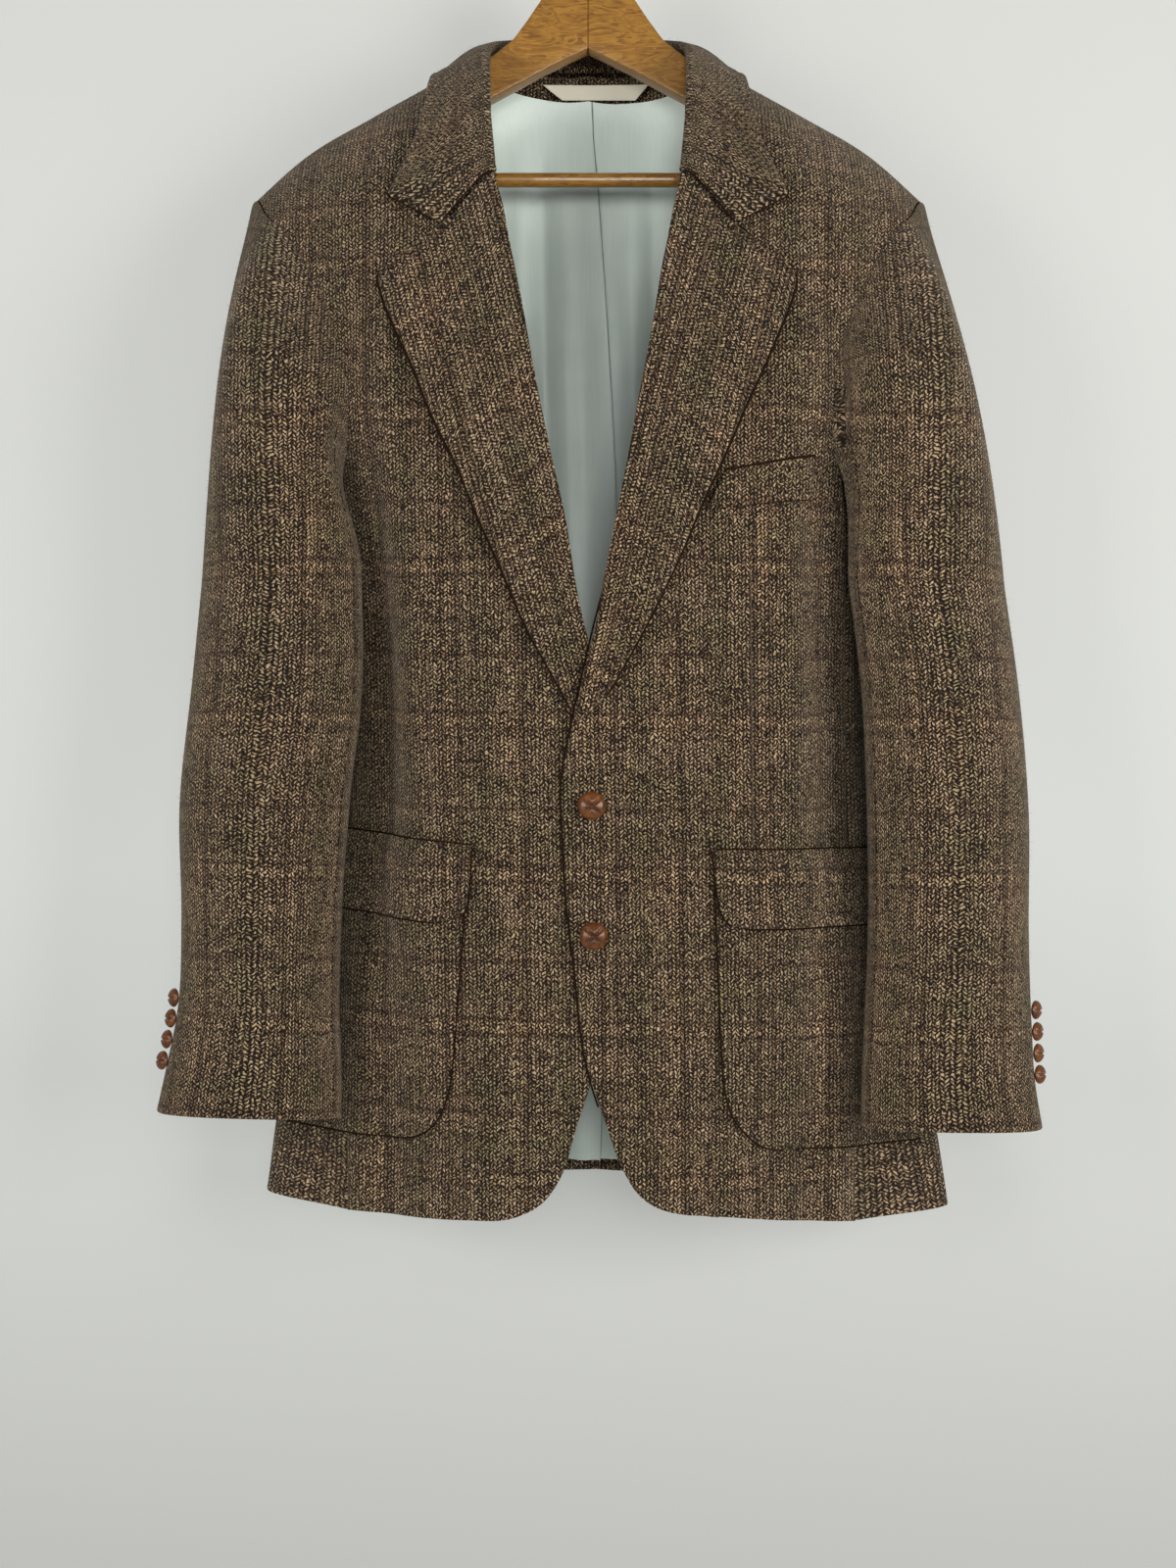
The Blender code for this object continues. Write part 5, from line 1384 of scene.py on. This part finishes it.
# ---- Buttons ----------------------------------------------------------------------------
# Domed buttons of woven leather strip, two on the front edge and four on each cuff.
FRONT_BUTTON = (9.8 * MM, 5.6 * MM, 0.6 * MM)      # radius, thickness, gap to the cloth
CUFF_BUTTON = (6.7 * MM, 4.6 * MM, 0.3 * MM)
FRONT_BUTTON_X = -1 * MM
FRONT_BUTTON_Z = (-657 * MM, -743 * MM)
CUFF_BUTTON_TURN = 0.015
STRIPS, CROSSING = 3.5, 0.11       # leather strips from middle to edge, half width of their cross
CUFF_BUTTON_Z = {1: -791 * MM, -1: -793 * MM}
CUFF_BUTTON_PITCH = 14.2 * MM
CUFF_TILT = (0.55, 0.65)           # cuff buttons hang from their thread and look forward
LEATHER, tree = new_material("button leather")
hide_at = object_at(tree)
grain = noise(tree, hide_at, 900.0, 4.0, Roughness=0.65)
dye = noise(tree, hide_at, 160.0)
dress(tree, Base_Color=ramp(
    tree, maths(tree, "MULTIPLY_ADD", grain, 0.4, maths(tree, "MULTIPLY", dye, 0.6)),
    (0.34, (0.028, 0.0075, 0.002)), (0.62, (0.125, 0.041, 0.0095))),
      Normal=relief(tree, grain, 0.35, 0.12 * MM), Roughness=0.34, Specular_IOR_Level=0.3,
      Coat_Weight=0.12)


def button(name, size, surface, a, b, wall, flip=False, tilt=0.0):
    """A domed button on the outer face of a surface, tilted to the front on its thread."""
    radius, thickness, gap = size
    a, b = np.array([a]), np.array([b])
    step = 0.002
    normal = np.cross(surface(a + step, b) - surface(a - step, b),
                      surface(a, b + step) - surface(a, b - step))[0] * (-1 if flip else 1)
    normal = Vector(normal).normalized()
    centre = Vector(hang_skew(surface(a, b))[0]) + normal * (wall + gap + thickness / 2)
    bm = bmesh.new()
    bmesh.ops.create_uvsphere(bm, u_segments=48, v_segments=24, radius=radius * 0.95)
    bmesh.ops.scale(bm, vec=(1, 1, thickness / 2 / radius), verts=bm.verts)
    for vert in bm.verts:
        x, y = (vert.co.x - vert.co.y) / radius, (vert.co.x + vert.co.y) / radius
        strips = abs(math.sin(max(abs(vert.co.x), abs(vert.co.y)) / radius * STRIPS * math.pi))
        crossing = math.exp(-(min(abs(x), abs(y)) / CROSSING) ** 2)
        dome = max(vert.co.z, 0) / (thickness / 2)
        rise = 0.24 - 0.24 * crossing + 0.06 * strips - 0.12 * (x * x + y * y) / 2
        vert.co.z += dome * radius * rise
    faces = (normal + Vector((0, -tilt, 0))).normalized()
    centre += normal * tilt * 1.2 * MM
    turn = Vector((0, 0, 1)).rotation_difference(faces)
    bmesh.ops.rotate(bm, cent=(0, 0, 0), matrix=turn.to_matrix(), verts=bm.verts)
    bmesh.ops.translate(bm, vec=centre, verts=bm.verts)
    made = show("woven_" + name, bm, LEATHER)
    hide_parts(name)
    return made


PLACKET_WIDTH, PLACKET_LOW, PLACKET_HEIGHT = 40 * MM, -900 * MM, 400 * MM


def placket(a, b):
    """The left forepart near its buttons, a across and b up."""
    girth = FRONT_BUTTON_X + (a - 0.5) * PLACKET_WIDTH
    return at_height(1, girth, PLACKET_LOW + PLACKET_HEIGHT * b)


for number, z in enumerate(FRONT_BUTTON_Z, 1):
    up = (z - PLACKET_LOW) / PLACKET_HEIGHT
    button(f"front_button_{number}", FRONT_BUTTON, placket, 0.5, up, 0)
    seam(f"buttonhole_{number}", placket, (0.84, 1.12), up, 1.7, 0.6, THREAD, 0.1, None, 24)
for side, hand in HANDS.items():
    top, cuff = SLEEVE[side]["z"][0], SLEEVE[side]["z"][-1]
    for number in range(4):
        z = CUFF_BUTTON_Z[side] - number * CUFF_BUTTON_PITCH
        down = HEAD_SHARE + (1 - HEAD_SHARE) * (z - top) / (cuff - top)
        button(f"cuff_button_{hand}_{number + 1}", CUFF_BUTTON,
               lambda a, b: sleeve_point(side, a, 1 - b), CUFF_BUTTON_TURN, 1 - down, WALL,
               flip=side > 0, tilt=CUFF_TILT[number % 2])

# ---- Room -------------------------------------------------------------------------------
# A pale wall close behind the hanger, seen from the front only, a pale floor and soft
# light from the front and above. Wall and floor share a plaster that carries painted light:
# its colour is painted darker towards the bottom, and it glows with painted light of its own.
WALL_Y, FLOOR_Z = 95 * MM, -1450 * MM
LIT_AT = Vector((0, 0, -0.55))
PAINTED_LIGHT_PLASTER, tree = new_material("pale plaster with painted light")
height = node(tree, "SeparateXYZ", None, i0=object_at(tree)).outputs[2]
# Painted light: the colour is painted darker towards the bottom, and the emission is a painted
# glow, strongest behind the jacket's lower half, not a lamp.
painted_wall_shade, painted_wall_glow = (ramp(tree, mapped(tree, height, -1.25, -0.05), *zip((0.0, 0.45, 1.0), colours))
                for colours in (((0.19, 0.192, 0.186), (0.23, 0.234, 0.226), (0.25, 0.252, 0.243)),
                                ((0.25, 0.255, 0.245), (0.35, 0.36, 0.345), (0.31, 0.315, 0.30))))
plaster = dress(tree, Base_Color=painted_wall_shade, Roughness=0.9, Emission_Color=painted_wall_glow, Emission_Strength=1)
seen = node(tree, "MixShader", None, i0=node(tree, "NewGeometry").outputs["Backfacing"],
            i1=plaster.outputs[0], i2=node(tree, "BsdfTransparent").outputs[0])
tree.links.new(seen.outputs[0], tree.nodes["Material Output"].inputs[0])
for name, turn, place in (("wall", math.pi / 2, (0, WALL_Y, FLOOR_Z + 3)),
                          ("floor", 0, (0, 0, FLOOR_Z))):
    bm = bmesh.new()
    bmesh.ops.create_grid(bm, x_segments=1, y_segments=1, size=3)
    bmesh.ops.rotate(bm, cent=(0, 0, 0), matrix=Matrix.Rotation(turn, 3, "X"), verts=bm.verts)
    bmesh.ops.translate(bm, vec=place, verts=bm.verts)
    formed(name, bm, PAINTED_LIGHT_PLASTER)
world = bpy.data.worlds.new("pale room")
bpy.context.scene.world = world
world.use_nodes = True
tree = world.node_tree
up = node(tree, "SeparateXYZ", None, i0=node(tree, "TexCoord").outputs["Generated"]).outputs[2]
sky = ramp(tree, maths(tree, "MULTIPLY_ADD", up, 0.5, 0.5), (0.0, (0.62, 0.63, 0.62)),
           (0.46, (1.0, 1.0, 0.99)), (0.56, (0.85, 0.86, 0.87)), (0.68, (0.36, 0.37, 0.38)),
           (1.0, (0.08, 0.08, 0.09)))
feed(tree, tree.nodes["Background"], Color=sky, Strength=0.52)
for name, place, size, power, colour in (
        ("window", (1.30, -1.40, -0.48), 0.8, 32, (1.0, 0.98, 0.945)),
        ("fill", (-1.30, -1.45, -0.48), 0.8, 21, (1.0, 0.99, 0.97)),
        ("front", (0.15, -2.1, -0.42), 0.5, 16, (1.0, 0.99, 0.97)),
        ("behind", (0.7, 2.0, 0.1), 1.4, 34, (1.0, 0.99, 0.97))):
    lamp = bpy.data.lights.new(name, "AREA")
    lamp.energy, lamp.size, lamp.color = power, size, colour
    holder = bpy.data.objects.new(name, lamp)
    holder.location = place
    aim = LIT_AT - Vector(place)
    holder.rotation_euler = aim.to_track_quat("-Z", "Y").to_euler()
    bpy.context.scene.collection.objects.link(holder)
bpy.context.scene.view_settings.view_transform = "Standard"
